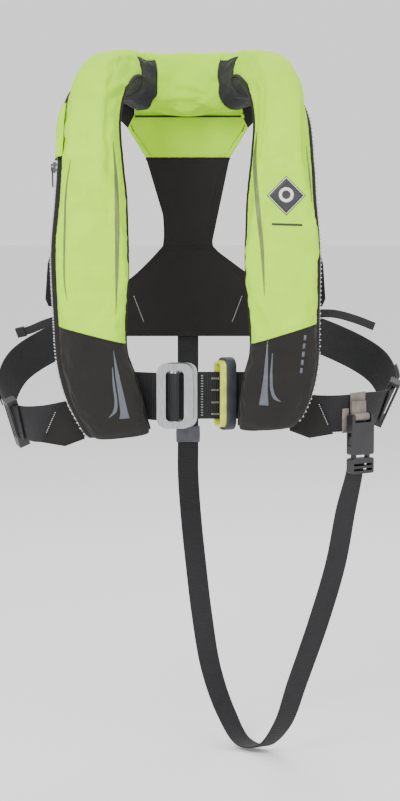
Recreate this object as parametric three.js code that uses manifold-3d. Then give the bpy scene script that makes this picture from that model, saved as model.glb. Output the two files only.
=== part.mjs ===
// Inflatable life jacket with a harness belt and a crotch strap, in the shape it takes on a wearer.
// Millimetres, +Z up. The wearer faces -Y and +X is the wearer's left. The origin is the middle of
// the neck opening, at the height where the collar rests on the shoulders.
import * as THREE from "three";
import { mergeVertices } from "three/addons/utils/BufferGeometryUtils.js";
import Module from "manifold-3d";

const wasm = await Module();
wasm.setup();

// ---- Driving sizes ----
const gap = 0.3; // between two pieces that lie on each other
const shellWall = 1.6; // a cover panel with its lining
const squareness = 2.6; // 2 is an ellipse; more makes the stole's section squarer
const sides = {
  left: { sign: 1, lean: 9, rise: 6 },
  right: { sign: -1, lean: -9, rise: -4 },
};

// Half of the stole, from the lower end of a lobe to the middle of the collar. Each row holds the
// section's centre, its width and depth, the way its outer edge points, and its slant.
const halfStole = [
  { at: [86, -118, -386], size: [60, 24], edge: [1, 0, 0], slant: 13 },
  { at: [92, -122, -374], size: [70, 34], edge: [1, 0, 0], slant: 12 },
  { at: [99.5, -126, -350], size: [79, 42], edge: [1, 0, 0], slant: 10 },
  { at: [107, -128, -320], size: [82, 48], edge: [1, 0, 0], slant: 10 },
  { at: [113.5, -128, -282], size: [78, 52], edge: [1, 0, 0], slant: 13 },
  { at: [113, -126, -180], size: [86, 54], edge: [1, 0, 0], slant: 5 },
  { at: [111.5, -120, -108], size: [79, 54], edge: [1, 0, 0], slant: 0 },
  { at: [112.5, -112, -60], size: [71, 53], edge: [1, 0, 0], slant: 0 },
  { at: [113, -98, -16], size: [65, 52], edge: [1, 0.05, 0], slant: 0 },
  { at: [110, -77, 12], size: [63, 52], edge: [0.98, 0.15, -0.05], slant: 0 },
  { at: [103, -48, 33], size: [62, 52], edge: [0.95, 0.3, -0.1], slant: 0 },
  { at: [94, -12, 45], size: [61, 54], edge: [0.87, 0.45, -0.15], slant: 0 },
  { at: [81, 28, 47], size: [60, 60], edge: [0.7, 0.68, -0.2], slant: 0 },
  { at: [53, 64, 40], size: [58, 74], edge: [0.32, 0.9, -0.28], slant: 0 },
  { at: [0, 77, 37], size: [56, 80], edge: [0, 0.94, -0.34], slant: 0 },
];
const leanEnds = 5; // the row from which the two lobes are alike
const coverEnd = 11.8; // rows where panels meet
const padEnd = 12.95;
const coverStart = 4.15;

// Where the panels start and end round the section: 0 is the outer edge, 90 the outside, 180 the
// edge beside the neck and 270 the wearer's side. The zip is turned a little further on one side.
const zipAt = -12;
const zipTurn = { left: -16, right: 4 };
const coverFrom = zipAt + 14;
const liningFrom = 360 + zipAt - 14;
const coverTo = 195;
const padTo = 150;

// Burst zip
const chainDepth = 3;
const tapeThickness = 1.2;
const sliderRow = 6.82; // parked under its garage, on the wearer's right
const sliderSize = [9, 4, 12];

// Back yoke, flat panels behind the wearer: the right half of each outline
const yokeY = 92;
const yokeThickness = 2.5;
const yokeHalf = {
  upper: [[25, 0.8], [48, 5], [68, 10.5], [68, 0.8], [77, -10], [77, -18], [54, -55]],
  waist: [[54, -55.3], [44, -79], [36, -107], [31, -129], [31, -168]],
  lower: [[31, -168.3], [52, -191], [77, -213], [106, -226], [106, -285]],
};
const yokeCorner = [[68.4, 11], [88, 13], [88, -6], [77.4, -17], [77.4, -9.8], [68.4, 0.8]];

// Webbing
const gridSteps = 3; // stations per row of a webbing's line
const beltThickness = 2.4;
const beltWidth = 45;
const frontBeltWidth = 57;
const frontBeltZ = -344;
const tabThickness = 1.6;
const tailWidth = 10;
const strapWidth = 27;
const strapThickness = 2.2;

// The belt's middle line from behind a lobe to the middle of the back, with the way its upper edge
// points. It leans outwards over the hips.
const beltLine = {
  left: [
    { at: [62, -98.9, -350], up: [0, 0, 1] },
    { at: [110, -98.9, -358], up: [0, 0, 1] },
    { at: [150, -98.4, -366], up: [0, 0, 1] },
    { at: [184, -94, -367], up: [0.03, -0.05, 1] },
    { at: [214, -77, -365], up: [0.1, -0.08, 1] },
    { at: [240, -46, -362], up: [0.4, -0.16, 1] },
    { at: [250, -4, -347], up: [0.4, 0, 1] },
    { at: [238, 40, -319], up: [0.2, 0.1, 1] },
    { at: [190, 77, -292], up: [0.05, 0.1, 1] },
    { at: [116, 92.3, -268], up: [0, 0, 1] },
    { at: [50, 92, -261], up: [0, 0, 1] },
    { at: [0, 92, -260], up: [0, 0, 1] },
  ],
  right: [
    { at: [-62, -98.9, -350], up: [0, 0, 1] },
    { at: [-108, -98.9, -364], up: [0, 0, 1] },
    { at: [-146, -98.2, -374], up: [0, 0, 1] },
    { at: [-176, -90, -380], up: [-0.1, -0.05, 1] },
    { at: [-201, -66, -381], up: [-0.3, -0.1, 1] },
    { at: [-218, -34, -372], up: [-0.42, -0.1, 1] },
    { at: [-226, 2, -353], up: [-0.36, 0, 1] },
    { at: [-214, 42, -320], up: [-0.18, 0.1, 1] },
    { at: [-171, 77, -292], up: [-0.05, 0.1, 1] },
    { at: [-112, 92.5, -268], up: [0, 0, 1] },
    { at: [-50, 92, -261], up: [0, 0, 1] },
    { at: [0, 92, -260], up: [0, 0, 1] },
  ],
};
const adjusterRow = { left: 5.5, right: 4.5 }; // where the two belts lap, in the plastic adjuster
const adjusterSize = { along: 15, across: 64, outwards: 13.8 };
const adjusterDrop = 4;
const lap = 0.5; // the belts' lap either side of the adjuster's middle, in rows
const hipTabRows = { left: 0.8, right: 1 }; // how far behind the adjuster, in rows

// Steel buckle: two frames, one behind the other
const frameSize = [43.6, 78];
const frameCorner = 12;
const frameWindow = [22, 61.5];
const frameThickness = 4.5;
const barRadius = 2.5;
const frameZ = -342.5;
const frames = { front: { x: -14.5, y: -128 }, rear: { x: -9.5, y: -111.5 } };

// Soft harness loop round the belt
const softLoop = {
  x: 45,
  y: -101.6,
  z: -342,
  depth: 27.4,
  height: 88,
  wall: 3.6,
  lining: 3.1,
  coverWidth: 12,
  width: 19,
  turn: 27,
};

// Gussets over the belts, flaps behind the lobes and loose tails, as outlines in x and z
const gussetY = -102.9;
const gussetThickness = 1.8;
const gusset = [[120, -350], [156, -350], [177, -397], [148, -402], [124, -393]];
const sideFlapY = -96.8;
const sideFlap = [[118, -152], [154, -150], [164, -186], [167, -228], [163, -237], [118, -234]];
const tailLine = {
  left: [
    { at: [112, -100, -242], up: [0, 0, 1] },
    { at: [150, -98.6, -245], up: [0, 0, 1] },
    { at: [178, -93, -246], up: [0.1, 0, 1] },
    { at: [204, -87, -253], up: [0.25, 0, 1] },
    { at: [227, -83, -262], up: [0.35, 0, 1] },
  ],
  right: [
    { at: [-112, -100, -248], up: [0, 0, 1] },
    { at: [-148, -98.6, -251], up: [0, 0, 1] },
    { at: [-172, -90, -258], up: [-0.3, -0.2, 1] },
    { at: [-191, -84, -266], up: [-0.35, -0.3, 1] },
    { at: [-207, -80, -270], up: [0, -0.4, 1] },
  ],
};

// Side-release buckle of the crotch strap
const buckleAt = [210.5, -93, -368];
const buckleTurn = 35;
const buckleWidth = 34;
const buckleDepth = 11;
const socketLength = 49;
const slotSize = [25, 9.5];
const cavityWidth = 27.6;
const cavityDepth = 6.4;
const cavityLength = 29;
const windowFrom = -38;
const windowTo = -22;
const clearance = 0.4;
const plugTop = -53;
const plugBottom = -72;
const prongX = 10.5;
const prongWidth = 4.2;
const prongTop = -22.8;
const buttonReach = 16.6;
const barGauge = 2.5; // radius of a bar that webbing goes round
const tabWidth = 22;
const tabRow = 3.72;

// Crotch strap, from behind the yoke to the side-release buckle
const strapLine = [
  { at: [0, 97.8, -262], up: [1, 0, 0] },
  { at: [0, 97.8, -330], up: [1, 0, 0] },
  { at: [0, 97.8, -395], up: [1, 0, 0] },
  { at: [0, 97.8, -430], up: [1, 0, 0] },
  { at: [0, 97.8, -465], up: [1, 0, 0] },
  { at: [4, 95, -524], up: [1, 0, 0] },
  { at: [10, 88, -582], up: [1, 0, 0] },
  { at: [18, 77, -648], up: [1, 0.1, 0] },
  { at: [30, 58, -716], up: [0.95, 0.3, 0.05] },
  { at: [49, 36, -768], up: [0.85, 0.5, 0.15] },
  { at: [71, 12, -801], up: [0.65, 0.75, 0.1] },
  { at: [96, -8, -801], up: [0.6, 0.75, -0.15] },
  { at: [119, -26, -770], up: [0.85, 0.5, -0.15] },
  { at: [138, -42, -710], up: [0.95, 0.3, -0.1] },
  { at: [163.5, -60, -628], up: [1, 0.25, -0.1] },
  { at: [183, -72, -554], up: [1, 0.3, -0.05] },
  { at: [194.5, -80, -486], up: [1, 0.4, 0] },
  { at: [203, -85, -446], up: [0.82, 0.57, 0] },
  { at: [206.4, -87.3, -424], up: [0.82, 0.57, 0] },
];
const sleeveFrom = -403;
const sleeveTo = -424;

// Inflator, oral tube and whistle, inside the lobes
const cylinderProfile = [[0, 0], [9, 1], [15, 8], [15, 88], [11, 98], [6, 101], [6, 108], [0, 108]];
const cylinderAt = [125.9, -127, -166];
const inflatorSize = [26, 24, 34];
const inflatorAt = [124.9, -127, -291.4];
const oralTube = { at: [-117, -127, -218], radius: 6, bore: 3.6, length: 92 };
const whistle = { at: [-114.2, -130, -300], radius: 6.5, bore: 4.5, length: 40 };

const materials = {
  lime: { color: 0xc8ec46, roughness: 0.75, metalness: 0 },
  black: { color: 0x1b1a19, roughness: 0.85, metalness: 0 },
  webbing: { color: 0x141416, roughness: 0.8, metalness: 0 },
  grey: { color: 0x4c4a50, roughness: 0.7, metalness: 0 },
  taupe: { color: 0x7d746a, roughness: 0.7, metalness: 0 },
  steel: { color: 0xb9bbbd, roughness: 0.28, metalness: 1 },
  plastic: { color: 0x17181a, roughness: 0.5, metalness: 0 },
  red: { color: 0xc4261d, roughness: 0.5, metalness: 0 },
  orange: { color: 0xf07a1c, roughness: 0.6, metalness: 0 },
};
for (const slot in materials) materials[slot] = new THREE.MeshStandardMaterial(materials[slot]);

const jacket = new THREE.Group();
function add(name, geometry, material, parent = jacket) {
  const mesh = new THREE.Mesh(geometry, material);
  mesh.name = name;
  parent.add(mesh);
  return mesh;
}

// ---- Solids ----
const vector = ([x, y, z]) => new THREE.Vector3(x, y, z);

function solidOf(geometry) {
  const bare = geometry.clone();
  bare.deleteAttribute("normal");
  bare.deleteAttribute("uv");
  const merged = mergeVertices(bare, 1e-4);
  return new wasm.Manifold(
    new wasm.Mesh({
      numProp: 3,
      vertProperties: merged.attributes.position.array,
      triVerts: new Uint32Array(merged.index.array),
    }),
  );
}

function geometryOf(solid) {
  const mesh = solid.getMesh();
  const geometry = new THREE.BufferGeometry();
  geometry.setAttribute("position", new THREE.BufferAttribute(mesh.vertProperties, 3));
  geometry.setIndex(new THREE.BufferAttribute(mesh.triVerts, 1));
  return geometry;
}

function join(...pieces) {
  return geometryOf(pieces.map(solidOf).reduce((whole, piece) => whole.add(piece)));
}

function cut(body, ...tools) {
  return geometryOf(tools.map(solidOf).reduce((left, tool) => left.subtract(tool), solidOf(body)));
}

function box(width, depth, height, x = 0, y = 0, z = 0) {
  return new THREE.BoxGeometry(width, depth, height).translate(x, y, z);
}

function rod(radius, height, x = 0, y = 0, z = 0, segments = 16) {
  const cylinder = new THREE.CylinderGeometry(radius, radius, height, segments);
  return cylinder.rotateX(Math.PI / 2).translate(x, y, z);
}

// An outline of [u, v] points swept from z = low to z = high.
function prism(outline, low, high) {
  const shape = new THREE.Shape(outline.map(([u, v]) => new THREE.Vector2(u, v)));
  const extruded = new THREE.ExtrudeGeometry(shape, { depth: high - low, bevelEnabled: false });
  return extruded.translate(0, 0, low);
}

function roundedRectangle(width, height, corner, steps = 5) {
  const outline = [];
  const centres = [[1, 1], [-1, 1], [-1, -1], [1, -1]];
  centres.forEach(([sx, sy], quarter) => {
    for (let i = 0; i <= steps; i++) {
      const angle = (quarter + i / steps) * (Math.PI / 2);
      outline.push([
        sx * (width / 2 - corner) + corner * Math.cos(angle),
        sy * (height / 2 - corner) + corner * Math.sin(angle),
      ]);
    }
  });
  return outline;
}

// A prism standing upright, facing -Y: the outline is in x and z, and y runs from front to back.
function upright(outline, front, back) {
  const turned = prism(outline, -back, -front).rotateX(Math.PI / 2);
  return turned;
}

const signedArea = (ring) =>
  ring.reduce((sum, [u, v], i) => {
    const [nextU, nextV] = ring[(i + 1) % ring.length];
    return sum + u * nextV - nextU * v;
  }, 0) / 2;

function capFaces(ring, first, facesForward) {
  const corners = ring.map(([u, v]) => new THREE.Vector2(u, v));
  const turnsLeft = signedArea(ring) > 0;
  return THREE.ShapeUtils.triangulateShape(corners, []).flatMap(([a, b, c]) => {
    const turns = signedArea([ring[a], ring[b], ring[c]]) > 0;
    const keep = (turns === turnsLeft) === facesForward;
    return keep ? [first + a, first + b, first + c] : [first + a, first + c, first + b];
  });
}

function volumeOf(position, index) {
  const corner = (i) => new THREE.Vector3().fromArray(position, 3 * index[i]);
  let sum = 0;
  for (let i = 0; i < index.length; i += 3)
    sum += corner(i).dot(corner(i + 1).cross(corner(i + 2)));
  return sum / 6;
}

// A closed solid through the same outline at each station. A station has a place, the ways edge,
// out and along, and contour gives its outline as [u, v] points along edge and out.
function loft(stations, contour) {
  const position = [];
  const rings = stations.map(contour);
  const count = rings[0].length;
  stations.forEach((s, i) =>
    rings[i].forEach(([u, v]) => {
      const point = s.at.clone().addScaledVector(s.edge, u).addScaledVector(s.out, v);
      if (s.slant) point.addScaledVector(s.along, (s.slant * u) / (s.width / 2));
      position.push(point.x, point.y, point.z);
    }),
  );
  const index = [];
  for (let i = 0; i + 1 < stations.length; i++)
    for (let j = 0; j < count; j++) {
      const a = i * count + j;
      const b = i * count + ((j + 1) % count);
      index.push(a, b, b + count, a, b + count, a + count);
    }
  const last = (stations.length - 1) * count;
  index.push(...capFaces(rings[0], 0, false), ...capFaces(rings[rings.length - 1], last, true));
  if (volumeOf(position, index) < 0) index.reverse();
  const geometry = new THREE.BufferGeometry();
  geometry.setAttribute("position", new THREE.BufferAttribute(new Float32Array(position), 3));
  return geometry.setIndex(index);
}

// ---- The stole: lobes and collar share one line ----
const lastRow = halfStole.length - 1;
const rows = [
  ...halfStole.map((row, i) => ({ row, i, side: sides.left })),
  ...halfStole.map((row, i) => ({ row, i, side: sides.right })).slice(0, lastRow).reverse(),
];
const smooth = (points) => new THREE.CatmullRomCurve3(points, false, "centripetal");
const centreLine = smooth(
  rows.map(({ row, i, side }) => {
    const [x, y, z] = row.at;
    const share = Math.max(0, 1 - i / leanEnds);
    return vector([side.sign * (x + side.lean * share), y, z + side.rise * share]);
  }),
);
const sizeLine = smooth(
  rows.map(({ row, side }) => vector([...row.size, side.sign * row.slant])),
);
const edgeLine = smooth(
  rows.map(({ row, side }) => {
    const [x, y, z] = row.edge;
    return vector([side.sign * x, y, z]);
  }),
);

// The station at a row number: 0 is the left lobe's lower end, lastRow the middle of the collar.
function station(row) {
  const t = row / (2 * lastRow);
  const at = centreLine.getPoint(t);
  const along = centreLine.getTangent(t);
  const edge = edgeLine.getPoint(t);
  edge.addScaledVector(along, -edge.dot(along)).normalize();
  const out = edge.clone().cross(along);
  const size = sizeLine.getPoint(t);
  const share = THREE.MathUtils.smoothstep(t, 0.42, 0.58);
  const turn = THREE.MathUtils.lerp(zipTurn.left, zipTurn.right, share);
  return { at, along, edge, out, width: size.x, depth: size.y, slant: size.z, turn };
}

// Stations between two rows, on a grid that all panels share. Rows past the middle are mirrored.
function stationsBetween(from, to, side = sides.left) {
  const between = [from];
  for (let row = Math.floor(2 * from + 1) / 2; row < to - 0.01; row += 0.5) between.push(row);
  between.push(to);
  return between.map((row) => station(side.sign > 0 ? row : 2 * lastRow - row));
}

function onSection(s, degrees, grow) {
  const fromZip = THREE.MathUtils.euclideanModulo(degrees - zipAt + 180, 360) - 180;
  const turn = s.turn * Math.max(0, 1 - Math.abs(fromZip) / 120);
  const angle = THREE.MathUtils.degToRad(degrees + turn);
  const bend = (value) => Math.sign(value) * Math.abs(value) ** (2 / squareness);
  const u = (s.width / 2 + grow) * bend(Math.cos(angle));
  return [u, (s.depth / 2 + grow) * bend(Math.sin(angle))];
}

// The outline of a panel that follows the section from one angle to another.
function panel(from, to, steps, outer = 0, inner = -shellWall) {
  return (s) => {
    const angles = Array.from({ length: steps + 1 }, (_, i) => from + ((to - from) * i) / steps);
    const outside = angles.map((a) => onSection(s, a, outer));
    return [...outside, ...angles.reverse().map((a) => onSection(s, a, inner))];
  };
}

// A whole section, of which only a share of the width beside the neck is filled.
function filled(grow, share, steps = 16) {
  return (s) => {
    const half = s.width / 2 + grow;
    const wall = half * (2 * share(s) - 1);
    const angles = Array.from({ length: steps }, (_, i) => (360 * i) / steps);
    return angles.map((a) => {
      const [u, v] = onSection(s, a, grow);
      return [Math.min(u, wall), v];
    });
  };
}

for (const [name, side] of Object.entries(sides)) {
  const lobe = (from, to, contour) => loft(stationsBetween(from, to, side), contour);
  const front = panel(coverFrom, coverTo, 11);
  const seam = 0.02;
  add(`lower_cover_${name}`, lobe(0, coverStart - seam, front), materials.black);
  add(`cover_${name}`, lobe(coverStart, coverEnd - seam, front), materials.lime);
  add(`lining_${name}`, lobe(0, coverEnd - seam, panel(liningFrom, coverTo + 2, 8)), materials.black);
  const top = panel(coverFrom, padTo, 9);
  add(`shoulder_panel_${name}`, lobe(coverEnd, padEnd - seam, top), materials.lime);
  const pad = panel(liningFrom, padTo + 2, 10);
  add(`neck_pad_${name}`, lobe(coverEnd, padEnd - seam, pad), materials.black);
  const inside = filled(-shellWall - 0.8, () => 1);
  add(`end_panel_${name}`, lobe(0, 0.13, inside), materials.black);
}

const collar = stationsBetween(padEnd, lastRow * 2 - padEnd);
add("collar_cover", loft(collar, panel(coverFrom, liningFrom, 20)), materials.lime);

// The folded bladder fills the stole, and beside the inflator and the oral tube only half of it.
const bladderEnds = 2.2;
const narrowUpTo = -140;
const bladderShare = (s) => THREE.MathUtils.clamp(0.44 + (s.at.z - narrowUpTo) / 90, 0.44, 1);
const bladder = stationsBetween(bladderEnds, lastRow * 2 - bladderEnds);
add("bladder", loft(bladder, filled(-shellWall - 1.4, bladderShare)), materials.orange);

// The zip: a tape sewn to the cover, a tape sewn to the lining, and the chain between them.
const zipLine = stationsBetween(0.05, lastRow * 2 - 0.05);
const chainOut = 5.2;
const zipStrip = (fromAngle, fromGrow, toAngle, toGrow, thickness) => (s) => {
  const near = onSection(s, fromAngle, fromGrow);
  const far = onSection(s, toAngle, toGrow);
  const farIn = onSection(s, toAngle, toGrow - thickness);
  return [near, far, farIn, onSection(s, fromAngle, fromGrow - thickness)];
};
const tapes = {
  zip_tape_cover_side: zipStrip(coverFrom - 2.2, 0, zipAt + 5.5, chainOut, tapeThickness),
  zip_tape_lining_side: zipStrip(zipAt - 5.5, chainOut, liningFrom - 357.8, 0, tapeThickness),
  zip_chain: zipStrip(zipAt + 4, chainOut + 1, zipAt - 4, chainOut + 1, chainDepth),
};
for (const name in tapes) add(name, loft(zipLine, tapes[name]), materials.black);

// The slider rides on the chain, and its pull hangs from a staple on it.
const sliderStation = station(2 * lastRow - sliderRow);
const chainTop = onSection(sliderStation, zipAt + 4, chainOut + 1);
const chainFoot = onSection(sliderStation, zipAt - 4, chainOut + 1);
const acrossChain = [chainTop[0] - chainFoot[0], chainTop[1] - chainFoot[1]];
const { edge, out, along } = sliderStation;
const chainSide = edge.clone().multiplyScalar(acrossChain[0]).addScaledVector(out, acrossChain[1]);
chainSide.normalize();
const offChain = along.clone().cross(chainSide);
const slider = new THREE.Group();
slider.position.copy(sliderStation.at);
slider.position.addScaledVector(edge, (chainTop[0] + chainFoot[0]) / 2);
slider.position.addScaledVector(out, (chainTop[1] + chainFoot[1]) / 2);
slider.quaternion.setFromRotationMatrix(
  new THREE.Matrix4().makeBasis(offChain, chainSide, along.clone().multiplyScalar(-1)),
);
jacket.add(slider);
const [sliderWidth, sliderDepth, sliderHeight] = sliderSize;
const sliderTop = 0.7 + sliderDepth;
const sliderBody = box(sliderDepth, sliderWidth, sliderHeight, 0.7 + sliderDepth / 2, 0, 0);
const staple = box(3.4, 3, 9, sliderTop + 1.4, 0, 0);
const stapleHole = box(2.2, 4, 5, sliderTop + 1.4, 0, 0);
add("zip_slider", cut(join(sliderBody, staple), stapleHole), materials.plastic, slider);
const pullOut = sliderTop + 1.4;
const pullPin = rod(0.7, 6, 0, 0, 0, 10).rotateX(Math.PI / 2).translate(pullOut, 0, 0);
const pullArms = [-1, 1].map((way) => box(1.2, 1.4, 7, pullOut, way * 2.9, -2.9));
const pullTab = box(1.2, 7.2, 17, pullOut, 0, -14.5);
add("zip_pull", join(pullTab, ...pullArms, pullPin), materials.plastic, slider);

// The lime garage flap over the upper end of the zip, on the wearer's right.
const flapEdge = [[17, 0.4], [11, 3], [3, 7.5], [-12, 8.8], [-24, 6.5]];
const flapFrom = 7.02;
const flapTo = 8.5;
const flapOutline = (s) => {
  const outside = flapEdge.map(([angle, grow]) => onSection(s, angle, grow + tapeThickness));
  const inside = flapEdge.map(([angle, grow]) => onSection(s, angle, grow));
  return [...outside, ...inside.reverse()];
};
add("zip_flap", loft(stationsBetween(flapFrom, flapTo, sides.right), flapOutline), materials.lime);

// ---- Back yoke ----
const mirrored = (half) => [...half, ...[...half].reverse().map(([x, z]) => [-x, z])];
const handed = (outline, side) => outline.map(([x, z]) => [sides[side].sign * x, z]);
const yokeFront = yokeY - yokeThickness / 2;
const yokeBack = yokeY + yokeThickness / 2;
const yokePanel = (half) => upright(mirrored(half), yokeFront, yokeBack);
add("yoke_upper_panel", yokePanel(yokeHalf.upper), materials.lime);
add("yoke_waist_panel", yokePanel(yokeHalf.waist), materials.black);
add("yoke_lower_panel", yokePanel(yokeHalf.lower), materials.black);

// ---- Webbing ----
// A line through rows of places, with the way the webbing's upper edge points at each.
function webbingLine(line) {
  const places = smooth(line.map((row) => vector(row.at)));
  const ups = smooth(line.map((row) => vector(row.up)));
  return (row) => {
    const t = row / (line.length - 1);
    const along = places.getTangent(t);
    const edge = ups.getPoint(t);
    edge.addScaledVector(along, -edge.dot(along)).normalize();
    return { at: places.getPoint(t), along, edge, out: along.clone().cross(edge) };
  };
}

// Webbing between two rows of a line: low to high across it, and from near to far off it. Its
// stations lie on a grid that layers of webbing share.
function webbing(line, from, to, [low, high], [near, far]) {
  const rows = [from];
  for (let i = Math.floor(from * gridSteps + 1.01); i < to * gridSteps - 0.01; i++) {
    rows.push(i / gridSteps);
  }
  const stations = [...rows, to].map(webbingLine(line));
  const middle = (low + high) / 2;
  const nearFace = [low, middle, high].map((u) => [u, near]);
  const farFace = [high, middle, low].map((u) => [u, far]);
  return loft(stations, () => [...nearFace, ...farFace]);
}

const across = (width) => [-width / 2, width / 2];
const face = beltThickness / 2;
const backNear = face + 3 * gap;
const backFar = backNear + beltThickness;

// A frame of three bars round both belts, in the belt's own directions.
function adjuster() {
  const { along: length, across: width, outwards: depth } = adjusterSize;
  const middle = (backFar - face) / 2;
  const opening = backFar + face + 3.2;
  const plate = depth / 2 - opening / 2;
  const body = box(width, depth, length, -adjusterDrop, middle, 0);
  const tunnel = box(beltWidth + 1, opening, length + 2, 0, middle, 0);
  const slots = [-1, 1].map((way) =>
    box(beltWidth + 1, plate + 2, 3.4, 0, middle + depth / 2 - plate / 2, way * 3.3),
  );
  return cut(body, tunnel, ...slots);
}

// One line from behind the left lobe, round the back, to behind the right lobe.
const wholeBelt = [...beltLine.left, ...beltLine.right.slice(0, -1).reverse()];
const beltRows = wholeBelt.length - 1;
const onBelt = (from, to, zone, near, far) => {
  const [first, last] = [from, to].sort((a, b) => a - b);
  return webbing(wholeBelt, first, last, zone, [near, far]);
};

for (const [side, { sign, rise }] of Object.entries(sides)) {
  const rowAt = (row) => (sign > 0 ? row : beltRows - row);
  const row = adjusterRow[side];
  const hipBelt = onBelt(rowAt(0), rowAt(row + lap), across(beltWidth), -face, face);
  add(`hip_belt_${side}`, hipBelt, materials.webbing);
  const tabMiddle = row + hipTabRows[side];
  const tabZone = [beltWidth / 2 - 14, beltWidth / 2 + 2];
  const tabNear = backFar + 0.9;
  const tabRows = [rowAt(tabMiddle - 0.25), rowAt(tabMiddle + 0.25)];
  const hipTab = onBelt(...tabRows, tabZone, tabNear, tabNear + tabThickness);
  add(`hip_tab_${side}`, hipTab, materials.grey);

  const place = webbingLine(wholeBelt)(rowAt(row));
  const holder = new THREE.Group();
  holder.position.copy(place.at);
  holder.quaternion.setFromRotationMatrix(
    new THREE.Matrix4().makeBasis(place.edge, place.out, place.edge.clone().cross(place.out)),
  );
  jacket.add(holder);
  add(`hip_adjuster_${side}`, adjuster(), materials.plastic, holder);

  const outline = gusset.map(([x, z]) => [sign * x, z + rise]);
  const gussetPanel = upright(outline, gussetY, gussetY + gussetThickness);
  add(`gusset_${side}`, gussetPanel, materials.black);
  const flap = upright(handed(sideFlap, side), sideFlapY, sideFlapY + tabThickness);
  add(`side_flap_${side}`, flap, materials.black);
  const tail = webbing(tailLine[side], 0, 4, across(tailWidth), across(tabThickness));
  add(`pull_tail_${side}`, tail, materials.webbing);
  const corner = upright(handed(yokeCorner, side), yokeFront, yokeBack);
  add(`yoke_corner_${side}`, corner, materials.black);
}

// The back belt runs from one adjuster round the back to the other, outside the hip belts' ends.
const backRows = [adjusterRow.left - lap, beltRows - adjusterRow.right + lap];
const backBelt = onBelt(...backRows, across(beltWidth), backNear, backFar);
add("back_belt", backBelt, materials.webbing);

// ---- Steel buckle and the front belts ----
function circle(radius, x, y, steps = 20) {
  const angles = Array.from({ length: steps }, (_, i) => (2 * Math.PI * i) / steps);
  return angles.map((angle) => [x + radius * Math.cos(angle), y + radius * Math.sin(angle)]);
}

// The outline of a strip of the given half thickness along a line of points.
function stripOutline(points, halves) {
  const offset = (way) =>
    points.map(([x, y], i) => {
      const [fromX, fromY] = points[Math.max(0, i - 1)];
      const [toX, toY] = points[Math.min(points.length - 1, i + 1)];
      const length = Math.hypot(toX - fromX, toY - fromY);
      const shift = (way * halves[i]) / length;
      return [x - (toY - fromY) * shift, y + (toX - fromX) * shift];
    });
  return [...offset(1), ...offset(-1).reverse()];
}

// Webbing sewn round a bar, seen along the bar, which runs from z = low to z = high.
function roundBar([x, y], barRadius, thickness, points, halves, low, high) {
  const outer = barRadius + clearance + thickness;
  const strip = prism(stripOutline(points, halves), low, high);
  const ring = prism(circle(outer, x, y), low, high);
  const hole = prism(circle(barRadius + clearance, x, y), low - 1, high + 1);
  return cut(join(strip, ring), hole);
}

function steelFrame({ x, y }) {
  const [width, height] = frameSize;
  const [windowWidth, windowHeight] = frameWindow;
  const place = (outline) => outline.map(([u, v]) => [u + x, v + frameZ]);
  const outside = place(roundedRectangle(width, height, frameCorner));
  const inside = place(roundedRectangle(windowWidth, windowHeight, frameCorner / 2));
  const plate = upright(outside, y - frameThickness / 2, y + frameThickness / 2);
  const opening = upright(inside, y - frameThickness, y + frameThickness);
  const bar = rod(barRadius, windowHeight + 3, x, y, frameZ);
  return join(cut(plate, opening), bar);
}

const frontBelts = {
  left: {
    frame: "rear",
    points: [
      [-7, -110], [0, -105.4], [8, -103.2], [14, -102], [17, -101.6], [60, -101.6], [95, -102.2],
    ],
  },
  right: {
    frame: "front",
    points: [
      [-17, -126.4], [-24, -121.8], [-31, -119], [-40, -115.4], [-46, -111.5], [-60, -103.2],
      [-95, -102.2],
    ],
  },
};
const [beltLow, beltHigh] = across(frontBeltWidth).map((z) => z + frontBeltZ);
for (const [side, { frame, points }] of Object.entries(frontBelts)) {
  const { x, y } = frames[frame];
  const halves = points.map((_, i) => (i < 4 ? beltThickness : beltThickness / 2));
  const belt = roundBar([x, y], barRadius, beltThickness, points, halves, beltLow, beltHigh);
  add(`front_belt_${side}`, belt, materials.webbing);
  add(`${frame}_frame`, steelFrame(frames[frame]), materials.steel);
}

// The soft loop: a band of webbing with a padded lining.
function band(outerSize, innerSize, corner, low, high) {
  const thickness = (outerSize[0] - innerSize[0]) / 2;
  const outside = prism(roundedRectangle(...outerSize, corner), low, high);
  const inside = prism(roundedRectangle(...innerSize, corner - thickness), low - 1, high + 1);
  return cut(outside, inside).rotateZ(Math.PI / 2).rotateY(Math.PI / 2);
}
const loopGroup = new THREE.Group();
loopGroup.position.set(softLoop.x, softLoop.y, softLoop.z);
loopGroup.rotation.z = THREE.MathUtils.degToRad(softLoop.turn);
jacket.add(loopGroup);
const { depth: loopDepth, height: loopHeight, wall, lining, width: loopWidth } = softLoop;
const shrunk = (by) => [loopDepth - 2 * by, loopHeight - 2 * by];
const loopCorner = 11;
const coverLow = loopWidth / 2 - softLoop.coverWidth;
const loopCover = band(shrunk(0), shrunk(wall), loopCorner, coverLow, loopWidth / 2);
add("soft_loop_cover", loopCover, materials.grey, loopGroup);
const liningOut = wall + gap;
const loopLining = band(
  shrunk(liningOut),
  shrunk(liningOut + lining),
  loopCorner - liningOut,
  -loopWidth / 2,
  loopWidth / 2,
);
add("soft_loop_lining", loopLining, materials.lime, loopGroup);

// ---- Side-release buckle ----
const release = new THREE.Group();
release.position.set(...buckleAt);
release.rotation.z = THREE.MathUtils.degToRad(buckleTurn);
jacket.add(release);

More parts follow.
